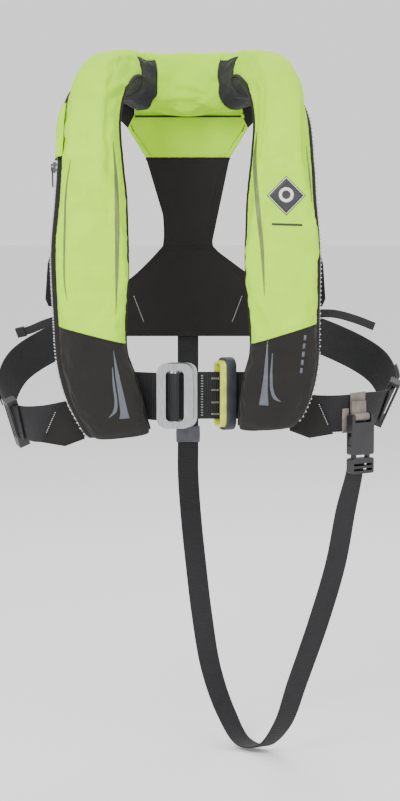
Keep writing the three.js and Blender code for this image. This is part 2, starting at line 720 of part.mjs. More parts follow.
const socketMiddle = -socketLength / 2;
const shell = upright(
  roundedRectangle(buckleWidth, socketLength, 3).map(([x, z]) => [x, z + socketMiddle]),
  -buckleDepth / 2,
  buckleDepth / 2,
);
const [slotWidth, slotDepth] = slotSize;
const slot = box(slotWidth, buckleDepth + 2, 2 * slotDepth, 0, 0, 0);
const topBar = rod(barGauge, slotWidth + 2, 0, 0, 0).rotateY(Math.PI / 2).translate(0, 0, -3);
const cavity = box(cavityWidth, cavityDepth, 2 * cavityLength, 0, 0, -socketLength);
const windowHeight = windowTo - windowFrom;
const windows = box(buckleWidth + 2, cavityDepth, windowHeight, 0, 0, (windowTo + windowFrom) / 2);
add("buckle_socket", cut(join(cut(shell, slot), topBar), cavity, windows), materials.plastic, release);

const plugHeight = plugTop - plugBottom;
const plugMiddle = (plugTop + plugBottom) / 2;
const base = upright(
  roundedRectangle(buckleWidth, plugHeight, 3).map(([x, z]) => [x, z + plugMiddle]),
  -buckleDepth / 2,
  buckleDepth / 2,
);
const prongDepth = cavityDepth - 2 * clearance;
const rootDepth = 3;
const pockets = [-1, 1].map((way) =>
  box(prongWidth + 2 * clearance, prongDepth + 2 * clearance, 2 * rootDepth, way * prongX, 0, plugTop),
);
const strapSlots = [-8, -14].map((z) => box(28, buckleDepth + 2, 3, 0, 0, plugTop + z));
add("buckle_plug", cut(base, ...pockets, ...strapSlots), materials.plastic, release);

for (const [side, { sign }] of Object.entries(sides)) {
  const root = plugTop - rootDepth + clearance;
  const inner = prongX - prongWidth / 2;
  const outer = prongX + prongWidth / 2;
  const outline = [
    [inner, root],
    [outer, root],
    [outer, windowFrom + 1.2],
    [buttonReach, windowFrom + 1.2],
    [buttonReach - 0.6, windowTo - 5],
    [outer, prongTop],
    [inner, prongTop],
  ];
  const prong = upright(outline.map(([x, z]) => [sign * x, z]), -prongDepth / 2, prongDepth / 2);
  add(`buckle_prong_${side}`, prong, materials.plastic, release);
}

// The taupe tabs that hold the socket on the belt
const tabHalf = tabThickness / 2;
const barTab = roundBar(
  [0, -3],
  barGauge,
  tabThickness,
  [[3.4, -1], [3.4, 3], [3.6, 8], [3.8, 16]],
  [tabHalf, tabHalf, tabHalf, tabHalf],
  -tabWidth / 2,
  tabWidth / 2,
);
barTab.applyMatrix4(
  new THREE.Matrix4().makeBasis(vector([0, 1, 0]), vector([0, 0, 1]), vector([1, 0, 0])),
);
add("buckle_tab_loop", barTab, materials.taupe, release);
const tabSpan = 0.3;
const tabNear = face + gap;
const patchZone = [-4, beltWidth / 2 + 2];
const patchRows = [tabRow - tabSpan, tabRow + tabSpan];
const patch = onBelt(...patchRows, patchZone, tabNear, tabNear + tabThickness);
add("buckle_tab_patch", patch, materials.taupe);
const endZone = [-24, 6];
const tabEnd = onBelt(tabRow - 0.62, tabRow - 0.36, endZone, tabNear, tabNear + tabThickness);
add("buckle_tab_end", tabEnd, materials.taupe);

// ---- Crotch strap ----
const strap = webbing(strapLine, 0, strapLine.length - 1, across(strapWidth), across(strapThickness));
add("crotch_strap", strap, materials.webbing);
const sleeveHeight = sleeveFrom - sleeveTo;
const [sleeveX, sleeveY] = strapLine[3].at;
const sleeveZ = (sleeveFrom + sleeveTo) / 2;
const sleeveOutside = box(strapWidth + 3.8, strapThickness + 3.8, sleeveHeight);
const sleeveInside = box(strapWidth + 1, strapThickness + 1, sleeveHeight + 2);
const sleeve = cut(sleeveOutside, sleeveInside).translate(sleeveX, sleeveY, sleeveZ);
add("strap_sleeve", sleeve, materials.grey);

// ---- Inside the lobes ----
function turned(profile, [x, y, z]) {
  const points = profile.map(([radius, down]) => new THREE.Vector2(radius, -down)).reverse();
  return new THREE.LatheGeometry(points, 20).rotateX(Math.PI / 2).translate(x, y, z);
}
add("gas_cylinder", turned(cylinderProfile, cylinderAt), materials.steel);
const [inflatorX, inflatorY, inflatorZ] = inflatorAt;
const inflator = box(...inflatorSize, inflatorX, inflatorY, inflatorZ);
const leverGap = box(9, 8, 30, inflatorX + 9, inflatorY - 10, inflatorZ + 3);
add("inflator_body", cut(inflator, leverGap), materials.plastic);
const capZ = inflatorZ - inflatorSize[2] / 2 - gap - 4;
add("inflator_cap", rod(10, 8, inflatorX, inflatorY, capZ, 20), materials.orange);
const lever = box(7.5, 5, 28, inflatorX + 9, inflatorY - 10.6, inflatorZ + 2.6);
add("inflator_lever", lever, materials.red);

function pipe({ at: [x, y, z], radius, bore, length }) {
  return cut(rod(radius, length, x, y, z), rod(bore, length + 2, x, y, z));
}
add("oral_tube", pipe(oralTube), materials.plastic);
const [tubeX, tubeY, tubeZ] = oralTube.at;
const tubeTop = tubeZ + oralTube.length / 2;
const capOutside = rod(oralTube.radius + 2.4, 16, tubeX, tubeY, tubeTop - 1.2);
const capInside = rod(oralTube.radius + clearance, 16, tubeX, tubeY, tubeTop - 3.6);
add("oral_valve_cap", cut(capOutside, capInside), materials.red);
add("whistle", pipe(whistle), materials.orange);

export default jacket;
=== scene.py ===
# Visual model of the inflatable life jacket, in metres, in the same frame as its CAD model: +Z up,
# the wearer faces -Y, +X is the wearer's left and the origin is in the middle of the neck opening.
import math

import bmesh
import bpy
import numpy as np
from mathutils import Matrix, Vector, noise
from mathutils.bvhtree import BVHTree


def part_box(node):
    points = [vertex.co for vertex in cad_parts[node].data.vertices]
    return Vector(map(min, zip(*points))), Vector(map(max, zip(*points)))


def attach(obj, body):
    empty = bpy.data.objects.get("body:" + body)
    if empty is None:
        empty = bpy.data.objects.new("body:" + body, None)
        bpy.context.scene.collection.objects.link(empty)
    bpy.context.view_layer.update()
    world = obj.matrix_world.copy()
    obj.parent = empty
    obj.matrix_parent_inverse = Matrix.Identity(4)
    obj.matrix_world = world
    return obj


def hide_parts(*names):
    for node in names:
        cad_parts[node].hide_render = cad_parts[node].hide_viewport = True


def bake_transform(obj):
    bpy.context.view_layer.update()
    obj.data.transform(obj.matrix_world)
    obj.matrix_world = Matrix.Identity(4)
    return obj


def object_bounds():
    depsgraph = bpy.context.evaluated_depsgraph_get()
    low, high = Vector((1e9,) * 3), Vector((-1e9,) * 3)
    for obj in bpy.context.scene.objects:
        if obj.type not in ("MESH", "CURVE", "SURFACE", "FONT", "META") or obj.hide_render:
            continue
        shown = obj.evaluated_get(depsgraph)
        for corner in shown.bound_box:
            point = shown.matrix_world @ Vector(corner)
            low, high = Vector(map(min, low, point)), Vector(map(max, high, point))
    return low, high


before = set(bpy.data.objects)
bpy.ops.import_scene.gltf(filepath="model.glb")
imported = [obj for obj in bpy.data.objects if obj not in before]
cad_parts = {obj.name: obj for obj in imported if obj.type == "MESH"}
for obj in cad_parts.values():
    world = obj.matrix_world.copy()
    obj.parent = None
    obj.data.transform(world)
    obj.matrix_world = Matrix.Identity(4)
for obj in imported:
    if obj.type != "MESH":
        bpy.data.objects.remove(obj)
cad_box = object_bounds()
ROOT = "jacket"

# ---- Driving sizes ----
# Round the stole's section, in degrees: 0 is its outer edge and 90 its front.
SQUARENESS = 2.6  # 2 is an ellipse, and more is squarer
ZIP_AT = -12
ZIP_TURN = {"left": -16, "right": 4}
CHAIN_AT = ZIP_AT + 4  # the teeth roll towards the front
COVER_FROM = ZIP_AT + 14
COVER_TO = 195
PAD_TO = 150
LINING_FROM = ZIP_AT - 14
# Along the stole, in rows of HALF_STOLE
COVER_START = 4.15
COVER_END = 11.8
PAD_END = 12.95
LAST_ROW = 14
WALL = 0.0016
CHAIN_OUT = 0.0052
TOOTH_PITCH = 0.0029
TOOTH_HALF = (0.0021, 0.00095)  # across the zip and along it
STITCH = 0.0032  # one stitch with its gap
STITCH_RADIUS = 0.00034
BELT_WIDTH = 0.045
BELT_THICKNESS = 0.0024
FRONT_BELT_WIDTH = 0.057
FRONT_BELT_Z = -0.344
YOKE_Y = 0.092
YOKE_THICKNESS = 0.0025
STRAP_WIDTH = 0.027
STRAP_THICKNESS = 0.0022
# Each side's direction, and how far its lower end leans outwards and stands higher
SIDES = {
    "left": {"sign": 1, "lean": 0.009, "rise": 0.006},
    "right": {"sign": -1, "lean": -0.009, "rise": -0.004},
}

# Half of the stole: the section's centre, width and depth, outer edge direction and slant.
HALF_STOLE = [
    ((0.086, -0.118, -0.386), (0.060, 0.024), (1, 0, 0), 0.013),
    ((0.092, -0.122, -0.374), (0.070, 0.034), (1, 0, 0), 0.012),
    ((0.0995, -0.126, -0.350), (0.079, 0.042), (1, 0, 0), 0.010),
    ((0.107, -0.128, -0.320), (0.082, 0.048), (1, 0, 0), 0.010),
    ((0.1135, -0.128, -0.282), (0.078, 0.052), (1, 0, 0), 0.013),
    ((0.113, -0.126, -0.180), (0.086, 0.054), (1, 0, 0), 0.005),
    ((0.1115, -0.120, -0.108), (0.079, 0.054), (1, 0, 0), 0),
    ((0.1125, -0.112, -0.060), (0.071, 0.053), (1, 0, 0), 0),
    ((0.113, -0.098, -0.016), (0.065, 0.052), (1, 0.05, 0), 0),
    ((0.110, -0.077, 0.012), (0.063, 0.052), (0.98, 0.15, -0.05), 0),
    ((0.103, -0.048, 0.033), (0.062, 0.052), (0.95, 0.3, -0.1), 0),
    ((0.094, -0.012, 0.045), (0.061, 0.054), (0.87, 0.45, -0.15), 0),
    ((0.081, 0.028, 0.047), (0.060, 0.060), (0.7, 0.68, -0.2), 0),
    ((0.053, 0.064, 0.040), (0.058, 0.074), (0.32, 0.9, -0.28), 0),
    ((0.0, 0.077, 0.037), (0.056, 0.080), (0, 0.94, -0.34), 0),
]

# Lines of (place, direction of the upper or left edge)
BELT_LINE = {
    "left": [
        ((0.062, -0.0989, -0.350), (0, 0, 1)),
        ((0.110, -0.0989, -0.358), (0, 0, 1)),
        ((0.150, -0.0984, -0.366), (0, 0, 1)),
        ((0.184, -0.094, -0.367), (0.03, -0.05, 1)),
        ((0.214, -0.077, -0.365), (0.1, -0.08, 1)),
        ((0.240, -0.046, -0.362), (0.4, -0.16, 1)),
        ((0.250, -0.004, -0.347), (0.4, 0, 1)),
        ((0.238, 0.040, -0.319), (0.2, 0.1, 1)),
        ((0.190, 0.077, -0.292), (0.05, 0.1, 1)),
        ((0.116, 0.0923, -0.268), (0, 0, 1)),
        ((0.050, 0.092, -0.261), (0, 0, 1)),
        ((0.0, 0.092, -0.260), (0, 0, 1)),
    ],
    "right": [
        ((-0.062, -0.0989, -0.350), (0, 0, 1)),
        ((-0.108, -0.0989, -0.364), (0, 0, 1)),
        ((-0.146, -0.0982, -0.374), (0, 0, 1)),
        ((-0.176, -0.090, -0.380), (-0.1, -0.05, 1)),
        ((-0.201, -0.066, -0.381), (-0.3, -0.1, 1)),
        ((-0.218, -0.034, -0.372), (-0.42, -0.1, 1)),
        ((-0.226, 0.002, -0.353), (-0.36, 0, 1)),
        ((-0.214, 0.042, -0.320), (-0.18, 0.1, 1)),
        ((-0.171, 0.077, -0.292), (-0.05, 0.1, 1)),
        ((-0.112, 0.0925, -0.268), (0, 0, 1)),
        ((-0.050, 0.092, -0.261), (0, 0, 1)),
    ],
}
ADJUSTER_ROW = {"left": 5.5, "right": 4.5}
HIP_TAB_ROWS = {"left": 0.8, "right": 1}
LAP = 0.5
TAIL_LINE = {
    "left": [
        ((0.112, -0.100, -0.242), (0, 0, 1)),
        ((0.150, -0.0986, -0.245), (0, 0, 1)),
        ((0.178, -0.093, -0.246), (0.1, 0, 1)),
        ((0.204, -0.087, -0.253), (0.25, 0, 1)),
        ((0.227, -0.083, -0.262), (0.35, 0, 1)),
    ],
    "right": [
        ((-0.112, -0.100, -0.248), (0, 0, 1)),
        ((-0.148, -0.0986, -0.251), (0, 0, 1)),
        ((-0.172, -0.090, -0.258), (-0.3, -0.2, 1)),
        ((-0.191, -0.084, -0.266), (-0.35, -0.3, 1)),
        ((-0.207, -0.080, -0.270), (0, -0.4, 1)),
    ],
}
STRAP_LINE = [
    ((0, 0.0978, -0.262), (1, 0, 0)),
    ((0, 0.0978, -0.330), (1, 0, 0)),
    ((0, 0.0978, -0.395), (1, 0, 0)),
    ((0, 0.0978, -0.430), (1, 0, 0)),
    ((0, 0.0978, -0.465), (1, 0, 0)),
    ((0.004, 0.095, -0.524), (1, 0, 0)),
    ((0.010, 0.088, -0.582), (1, 0, 0)),
    ((0.018, 0.077, -0.648), (1, 0.1, 0)),
    ((0.030, 0.058, -0.716), (0.95, 0.3, 0.05)),
    ((0.049, 0.036, -0.768), (0.85, 0.5, 0.15)),
    ((0.071, 0.012, -0.801), (0.65, 0.75, 0.1)),
    ((0.096, -0.008, -0.801), (0.6, 0.75, -0.15)),
    ((0.119, -0.026, -0.770), (0.85, 0.5, -0.15)),
    ((0.138, -0.042, -0.710), (0.95, 0.3, -0.1)),
    ((0.1635, -0.060, -0.628), (1, 0.25, -0.1)),
    ((0.183, -0.072, -0.554), (1, 0.3, -0.05)),
    ((0.1945, -0.080, -0.486), (1, 0.4, 0)),
    ((0.203, -0.085, -0.446), (0.82, 0.57, 0)),
    ((0.2064, -0.0873, -0.424), (0.82, 0.57, 0)),
]

# Half outlines of the yoke's panels, as (x, z)
YOKE_UPPER = [
    (0.025, 0.004), (0.048, 0.009), (0.068, 0.0140), (0.0681, 0.0008), (0.077, -0.010),
    (0.077, -0.018), (0.054, -0.055),
]
YOKE_CORNER = [
    (0.0684, 0.0142), (0.088, 0.0170), (0.088, -0.006), (0.0774, -0.017), (0.0774, -0.0098),
    (0.0684, 0.0008),
]
YOKE_WAIST = [
    (0.054, -0.0553), (0.0450, -0.070), (0.0382, -0.087), (0.0340, -0.106), (0.0312, -0.129),
    (0.0300, -0.153), (0.0312, -0.168),
]
YOKE_LOWER = [
    (0.031, -0.1683), (0.052, -0.191), (0.077, -0.213), (0.106, -0.226), (0.106, -0.285),
]


# ---- Camera and light ----
def make_camera():
    data = bpy.data.cameras.new("camera")
    camera = bpy.data.objects.new("camera", data)
    bpy.context.scene.collection.objects.link(camera)
    target = Vector((0.0156, -0.120, -0.3486))
    elevation = math.radians(5.5)
    distance = 2.5
    back = Vector((0, -math.cos(elevation), math.sin(elevation)))
    camera.location = target + back * distance
    camera.rotation_euler = (math.pi / 2 - elevation, 0, 0)
    data.sensor_fit = "VERTICAL"
    data.sensor_height = 36
    data.lens = 36 * 2083.3 / 801
    data.clip_end = 50
    bpy.context.scene.camera = camera


def make_light(name, place, size, power):
    data = bpy.data.lights.new(name, "AREA")
    data.size = size
    data.energy = power
    light = bpy.data.objects.new(name, data)
    bpy.context.scene.collection.objects.link(light)
    light.location = place
    direction = Vector((0, 0, -0.3)) - Vector(place)
    light.rotation_euler = direction.to_track_quat("-Z", "Y").to_euler()


def make_studio():
    world = bpy.data.worlds.new("studio")
    world.use_nodes = True
    background = world.node_tree.nodes["Background"]
    background.inputs["Color"].default_value = (1, 1, 1, 1)
    background.inputs["Strength"].default_value = 1.2
    bpy.context.scene.world = world
    make_light("key", (-1.3, -2.2, 1.5), 1.4, 80)
    make_light("fill", (1.8, -2.0, 0.4), 1.8, 26)
    make_light("rim", (0.4, 1.6, 1.6), 1.2, 26)
    floor_z = cad_box[0][2] - 0.004
    bpy.ops.mesh.primitive_plane_add(size=60, location=(0, 0, floor_z))
    floor = bpy.context.object
    floor.name = "floor"
    paper = bpy.data.materials.new("paper")
    paper.use_nodes = True
    surface = paper.node_tree.nodes["Principled BSDF"]
    surface.inputs["Base Color"].default_value = (0.9, 0.9, 0.9, 1)
    surface.inputs["Roughness"].default_value = 0.9
    floor.data.materials.append(paper)


# ---- Materials ----
class Shader:
    """A material's node tree, with short ways to add and link nodes."""

    def __init__(self, name, roughness=0.7, metallic=0.0, sheen=0.0, specular=0.5):
        self.material = bpy.data.materials.new(name)
        self.material.use_nodes = True
        self.tree = self.material.node_tree
        self.surface = self.tree.nodes["Principled BSDF"]
        self.surface.inputs["Roughness"].default_value = roughness
        self.surface.inputs["Metallic"].default_value = metallic
        self.surface.inputs["Sheen Weight"].default_value = sheen
        self.surface.inputs["Specular IOR Level"].default_value = specular

    def node(self, kind, **values):
        made = self.tree.nodes.new(kind)
        for key, value in values.items():
            if key in made.inputs:
                made.inputs[key].default_value = value
            else:
                setattr(made, key, value)
        return made

    def link(self, output, target):
        self.tree.links.new(output, target)

    def woven(self):
        """Coordinates along the cloth in metres: across it and along it."""
        return self.node("ShaderNodeUVMap", uv_map="Weave").outputs["UV"]

    def placed(self):
        return self.node("ShaderNodeTexCoord").outputs["Object"]

    def wave(self, coordinates, spacing, direction):
        """Even bands, a spacing in metres apart."""
        scale = 2 * math.pi / (20 * spacing)
        texture = self.node("ShaderNodeTexWave", bands_direction=direction, Scale=scale, Detail=0.0)
        self.link(coordinates, texture.inputs["Vector"])
        return texture.outputs["Color"]

    def blotches(self, coordinates, size, detail=3.0):
        texture = self.node("ShaderNodeTexNoise", Scale=1 / size, Detail=detail)
        self.link(coordinates, texture.inputs["Vector"])
        return texture.outputs["Fac"]

    def multiply(self, first, second):
        node = self.node("ShaderNodeMix", data_type="RGBA", blend_type="MULTIPLY", Factor=1.0)
        for name, output in (("A", first), ("B", second)):
            self.link(output, [s for s in node.inputs if s.name == name and s.type == "RGBA"][0])
        return [s for s in node.outputs if s.type == "RGBA"][0]

    def ramp(self, factor, stops):
        node = self.node("ShaderNodeValToRGB")
        elements = node.color_ramp.elements
        while len(elements) < len(stops):
            elements.new(0.5)
        for element, (position, color) in zip(elements, stops):
            element.position = position
            element.color = (*color, 1)
        self.link(factor, node.inputs["Fac"])
        return node.outputs["Color"]

    def color(self, output):
        self.link(output, self.surface.inputs["Base Color"])

    def roughness_from(self, factor, low, high):
        node = self.node("ShaderNodeMapRange")
        node.inputs["To Min"].default_value = low
        node.inputs["To Max"].default_value = high
        self.link(factor, node.inputs["Value"])
        self.link(node.outputs["Result"], self.surface.inputs["Roughness"])

    def bump(self, *layers):
        """Layers of (height output, strength, distance in metres), each on top of the last."""
        normal = None
        for height, strength, distance in layers:
            node = self.node("ShaderNodeBump", Strength=strength, Distance=distance)
            self.link(height, node.inputs["Height"])
            if normal:
                self.link(normal, node.inputs["Normal"])
            normal = node.outputs["Normal"]
        self.link(normal, self.surface.inputs["Normal"])


def shade(color, share):
    """A colour made darker or lighter."""
    return tuple(min(1, c * share) for c in color)


def cloth_material(name, color, thread=0.0006, contrast=0.12, roughness=0.8, sheen=0.25):
    """Woven fabric: crossing threads, a faint mottle, and painted shade between the threads, where the
    colour is darkened.
    """
    shader = Shader(name, roughness=roughness, sheen=sheen, specular=0.25)
    shader.surface.inputs["Sheen Roughness"].default_value = 0.6
    across = shader.wave(shader.woven(), thread, "X")
    along = shader.wave(shader.woven(), thread, "Y")
    weave = shader.multiply(across, along)
    mottle = shader.blotches(shader.placed(), 0.03)
    base = shader.ramp(mottle, [(0.3, shade(color, 1 - contrast)), (0.7, shade(color, 1 + contrast / 2))])
    # Painted shade: the colour is darkened between the crossing threads, where the weave dips.
    threads = shader.ramp(weave, [(0.0, (0.86, 0.86, 0.86)), (0.6, (1, 1, 1))])
    shader.color(shader.multiply(base, threads))
    shader.roughness_from(mottle, roughness - 0.06, roughness + 0.08)
    shader.bump((mottle, 0.15, 0.0006), (weave, 0.35, 0.00012))
    return shader.material


def webbing_material(name, color, roughness=0.62, ribs=None):
    """Webbing: fine warp threads along it over the ribs that the mesh holds, or ribs of its own."""
    shader = Shader(name, roughness=roughness, sheen=0.05, specular=0.3)
    threads = shader.wave(shader.woven(), 0.0007, "Y" if ribs else "X")
    mottle = shader.blotches(shader.placed(), 0.012)
    base = shader.ramp(mottle, [(0.3, shade(color, 0.75)), (0.75, shade(color, 1.35))])
    # Painted shade: the colour is darkened in the grooves between the warp threads.
    lines = shader.ramp(threads, [(0.0, (0.7, 0.7, 0.7)), (0.7, (1, 1, 1))])
    shader.color(shader.multiply(base, lines))
    shader.roughness_from(mottle, roughness - 0.1, roughness + 0.08)
    if ribs:
        shader.bump((shader.wave(shader.woven(), ribs, "X"), 0.8, 0.0004), (threads, 0.4, 0.0001))
    else:
        shader.bump((threads, 0.4, 0.0001))
    return shader.material


def plastic_material(name, color, roughness=0.42):
    """Moulded plastic: a fine spark-eroded grain and slightly uneven gloss."""
    shader = Shader(name, roughness=roughness, specular=0.5)
    grain = shader.blotches(shader.placed(), 0.0006, 2.0)
    patches = shader.blotches(shader.placed(), 0.02)
    shader.color(shader.ramp(patches, [(0.3, shade(color, 0.85)), (0.7, shade(color, 1.25))]))
    shader.roughness_from(patches, roughness - 0.08, roughness + 0.12)
    shader.bump((grain, 0.12, 0.00008))
    return shader.material


def steel_material():
    """Brushed stainless steel with fine lines along its height and faint scuffs."""
    shader = Shader("brushed_steel", roughness=0.3, metallic=1.0)
    stretch = shader.node("ShaderNodeMapping")
    stretch.inputs["Scale"].default_value = (1, 1, 0.04)
    shader.link(shader.placed(), stretch.inputs["Vector"])
    brushing = shader.blotches(stretch.outputs["Vector"], 0.0007, 6.0)
    scuffs = shader.blotches(shader.placed(), 0.008, 5.0)
    shader.color(shader.ramp(brushing, [(0.3, (0.36, 0.37, 0.38)), (0.7, (0.56, 0.57, 0.58))]))
    shader.roughness_from(scuffs, 0.16, 0.34)
    shader.bump((brushing, 0.12, 0.00005))
    return shader.material


def reflective_material(name, color):
    """Reflective print: tiny glass beads in a slightly metallic film, each with a painted glint: lighter at
    its centre and darker at its rim.
    """
    shader = Shader(name, roughness=0.45, metallic=0.35, specular=0.6)
    beads = shader.node("ShaderNodeTexVoronoi", Scale=2500.0)
    shader.link(shader.placed(), beads.inputs["Vector"])
    sparkle = beads.outputs["Distance"]
    # Painted highlight: each bead's centre is painted lighter as a glint, and its rim darker.
    shader.color(shader.ramp(sparkle, [(0.0, shade(color, 1.3)), (0.8, shade(color, 0.75))]))
    shader.bump((sparkle, 0.25, 0.00008))
    return shader.material


def plain_material(name, color, roughness=0.6, size=0.004, metallic=0.0):
    """A slightly uneven surface, for thread, print and paint."""
    shader = Shader(name, roughness=roughness, metallic=metallic)
    grain = shader.blotches(shader.placed(), size)
    shader.color(shader.ramp(grain, [(0.3, shade(color, 0.82)), (0.7, shade(color, 1.15))]))
    shader.roughness_from(grain, roughness - 0.08, roughness + 0.1)
    shader.bump((grain, 0.15, 0.0001))
    return shader.material


LIME = cloth_material("lime_fabric", (0.47, 0.88, 0.001), roughness=0.78, contrast=0.06, sheen=0.0)
BLACK = cloth_material("black_fabric", (0.0125, 0.0112, 0.0105), contrast=0.2, sheen=0.04)
NEOPRENE = cloth_material(
    "neoprene_fabric", (0.02, 0.0205, 0.023), thread=0.0011, contrast=0.15, sheen=0.05
)
WEBBING = webbing_material("black_webbing", (0.0095, 0.0095, 0.011))
FRONT_WEBBING = webbing_material("front_webbing", (0.0095, 0.0095, 0.011), ribs=0.0024)
GREY_WEBBING = webbing_material("grey_webbing", (0.075, 0.077, 0.088))
LIME_WEBBING = webbing_material("lime_webbing", (0.6, 0.68, 0.07), roughness=0.7)
CHARCOAL = webbing_material("charcoal_webbing", (0.035, 0.036, 0.05))
TAUPE = webbing_material("taupe_webbing", (0.19, 0.165, 0.14), roughness=0.75)
PLASTIC = plastic_material("black_plastic", (0.014, 0.014, 0.016))
RED = plastic_material("red_plastic", (0.55, 0.03, 0.02))
ORANGE = plastic_material("orange_plastic", (0.8, 0.25, 0.03))
STEEL = steel_material()
CYLINDER = plain_material("cylinder_paint", (0.45, 0.46, 0.45), 0.4, metallic=0.6)
BLADDER = cloth_material("coated_nylon", (0.8, 0.3, 0.03), roughness=0.5)
THREAD_LIME = plain_material("lime_thread", (0.45, 0.62, 0.05), 0.8, 0.001)
THREAD_BLACK = plain_material("black_thread", (0.012, 0.012, 0.012), 0.8, 0.001)
THREAD_GREY = plain_material("grey_thread", (0.42, 0.43, 0.43), 0.75, 0.001)
TEETH = plain_material("zip_teeth", (0.46, 0.47, 0.47), 0.45, 0.001)
REFLECTIVE = reflective_material("reflective_grey", (0.095, 0.108, 0.125))
REFLECTIVE_OLIVE = reflective_material("reflective_on_lime", (0.15, 0.19, 0.06))
PRINT_DARK = plain_material("badge_black", (0.02, 0.02, 0.02), 0.5, 0.002)
PRINT_WHITE = plain_material("badge_white", (0.7, 0.7, 0.7), 0.5, 0.002)
PRINT_CORAL = plain_material("badge_coral", (0.8, 0.16, 0.08), 0.5, 0.002)


# ---- Lines and stations ----
class Line:
    """A centripetal Catmull-Rom curve through points, asked by row number."""

    def __init__(self, points):
        self.points = [Vector(p) for p in points]
        self.last = len(points) - 1

    def point(self, row):
        row = min(max(row, 0), self.last)
        i = min(int(row), self.last - 1)
        w = row - i
        p1 = self.points[i]
        p2 = self.points[i + 1]
        p0 = self.points[i - 1] if i > 0 else 2 * p1 - p2
        p3 = self.points[i + 2] if i + 2 <= self.last else 2 * p2 - p1
        gaps = [(b - a).length ** 0.5 for a, b in ((p0, p1), (p1, p2), (p2, p3))]
        middle = gaps[1] if gaps[1] > 1e-5 else 1.0
        before = gaps[0] if gaps[0] > 1e-5 else middle
        after = gaps[2] if gaps[2] > 1e-5 else middle
        m1 = ((p1 - p0) / before - (p2 - p0) / (before + middle) + (p2 - p1) / middle) * middle
        m2 = ((p2 - p1) / middle - (p3 - p1) / (middle + after) + (p3 - p2) / after) * middle
        a = 2 * w**3 - 3 * w**2 + 1
        b = w**3 - 2 * w**2 + w
        c = -2 * w**3 + 3 * w**2
        d = w**3 - w**2
        return p1 * a + m1 * b + p2 * c + m2 * d

    def tangent(self, row):
        step = 0.002
        return (self.point(row + step) - self.point(row - step)).normalized()


class Track:
    """A line of (place, upper edge direction), with its length measured along it."""

    def __init__(self, rows, samples=600):
        self.places = Line([place for place, _ in rows])
        self.ups = Line([up for _, up in rows])
        self.last = len(rows) - 1
        marks = [self.last * i / samples for i in range(samples + 1)]
        points = [self.places.point(m) for m in marks]
        self.marks = marks
        self.lengths = [0.0]
        for a, b in zip(points, points[1:]):
            self.lengths.append(self.lengths[-1] + (b - a).length)

    def length_at(self, row):
        return float(np.interp(row, self.marks, self.lengths))

    def row_at(self, length):
        return float(np.interp(length, self.lengths, self.marks))

    def frame(self, row):
        at = self.places.point(row)
        along = self.places.tangent(row)
        edge = self.ups.point(row)
        edge = (edge - along * edge.dot(along)).normalized()
        return at, along, edge, along.cross(edge)


def stole_rows():
    rows = []
    for side in ("left", "right"):
        data = SIDES[side]
        half = []
        for i, ((x, y, z), (width, depth), edge, slant) in enumerate(HALF_STOLE):
            share = max(0.0, 1 - i / 5)
            place = (data["sign"] * (x + data["lean"] * share), y, z + data["rise"] * share)
            pointing = (data["sign"] * edge[0], edge[1], edge[2])
            half.append((place, (width, depth, data["sign"] * slant), pointing))
        rows += half if side == "left" else half[-2::-1]
    return rows


ROWS = stole_rows()
CENTRE_LINE = Line([row[0] for row in ROWS])
SIZE_LINE = Line([tuple(1000 * v for v in row[1]) for row in ROWS])
EDGE_LINE = Line([row[2] for row in ROWS])


def smoothstep(x, low, high):
    x = min(max((x - low) / (high - low), 0), 1)
    return x * x * (3 - 2 * x)


def steps_between(low, high, count):
    return [low + (high - low) * i / count for i in range(count + 1)]


class Station:
    """The stole's section at a row: 0 is the left lobe's lower end, 14 the collar, 28 the right end."""

    def __init__(self, row):
        share = smoothstep(row / (2 * LAST_ROW), 0.42, 0.58)
        self.at = CENTRE_LINE.point(row)
        self.along = CENTRE_LINE.tangent(row)
        edge = EDGE_LINE.point(row)
        self.edge = (edge - self.along * edge.dot(self.along)).normalized()
        self.out = self.edge.cross(self.along)
        self.width, self.depth, self.slant = (v / 1000 for v in SIZE_LINE.point(row))
        self.turn = ZIP_TURN["left"] * (1 - share) + ZIP_TURN["right"] * share

    def section(self, degrees, grow=0.0):
        from_zip = (degrees - ZIP_AT + 180) % 360 - 180
        turn = self.turn * max(0.0, 1 - abs(from_zip) / 120)
        angle = math.radians(degrees + turn)
        u, v = (
            math.copysign(abs(value) ** (2 / SQUARENESS), value)
            for value in (math.cos(angle), math.sin(angle))
        )
        return (self.width / 2 + grow) * u, (self.depth / 2 + grow) * v

    def place(self, u, v):
        point = self.at + self.edge * u + self.out * v
        return point + self.along * (self.slant * u / (self.width / 2))

    def on(self, degrees, grow=0.0):
        return self.place(*self.section(degrees, grow))

    def normal(self, degrees):
        return (self.on(degrees, 0.004) - self.on(degrees, -0.004)).normalized()


# ---- Meshes ----
def mesh_object(name, points, faces, material, smooth=True, weave=None):
    mesh = bpy.data.meshes.new(name)
    mesh.from_pydata([tuple(p) for p in points], [], faces)
    if smooth:
        mesh.shade_smooth()
    mesh.materials.append(material)
    layer = mesh.uv_layers.new(name="Weave")
    if weave is not None:
        index = np.empty(len(mesh.loops), dtype=np.int32)
        mesh.loops.foreach_get("vertex_index", index)
        layer.data.foreach_set("uv", np.asarray(weave, dtype=np.float32)[index].ravel())
    mesh.validate()
    made = bpy.data.objects.new(name, mesh)
    bpy.context.scene.collection.objects.link(made)
    return made


def grid_faces(rows, columns, closed):
    """Faces of a grid, whose rows may be closed rings."""
    faces = []
    last = columns if closed else columns - 1
    for i in range(rows - 1):
        for j in range(last):
            k = (j + 1) % columns
            a = i * columns
            faces.append((a + j, a + k, a + columns + k, a + columns + j))
    return faces


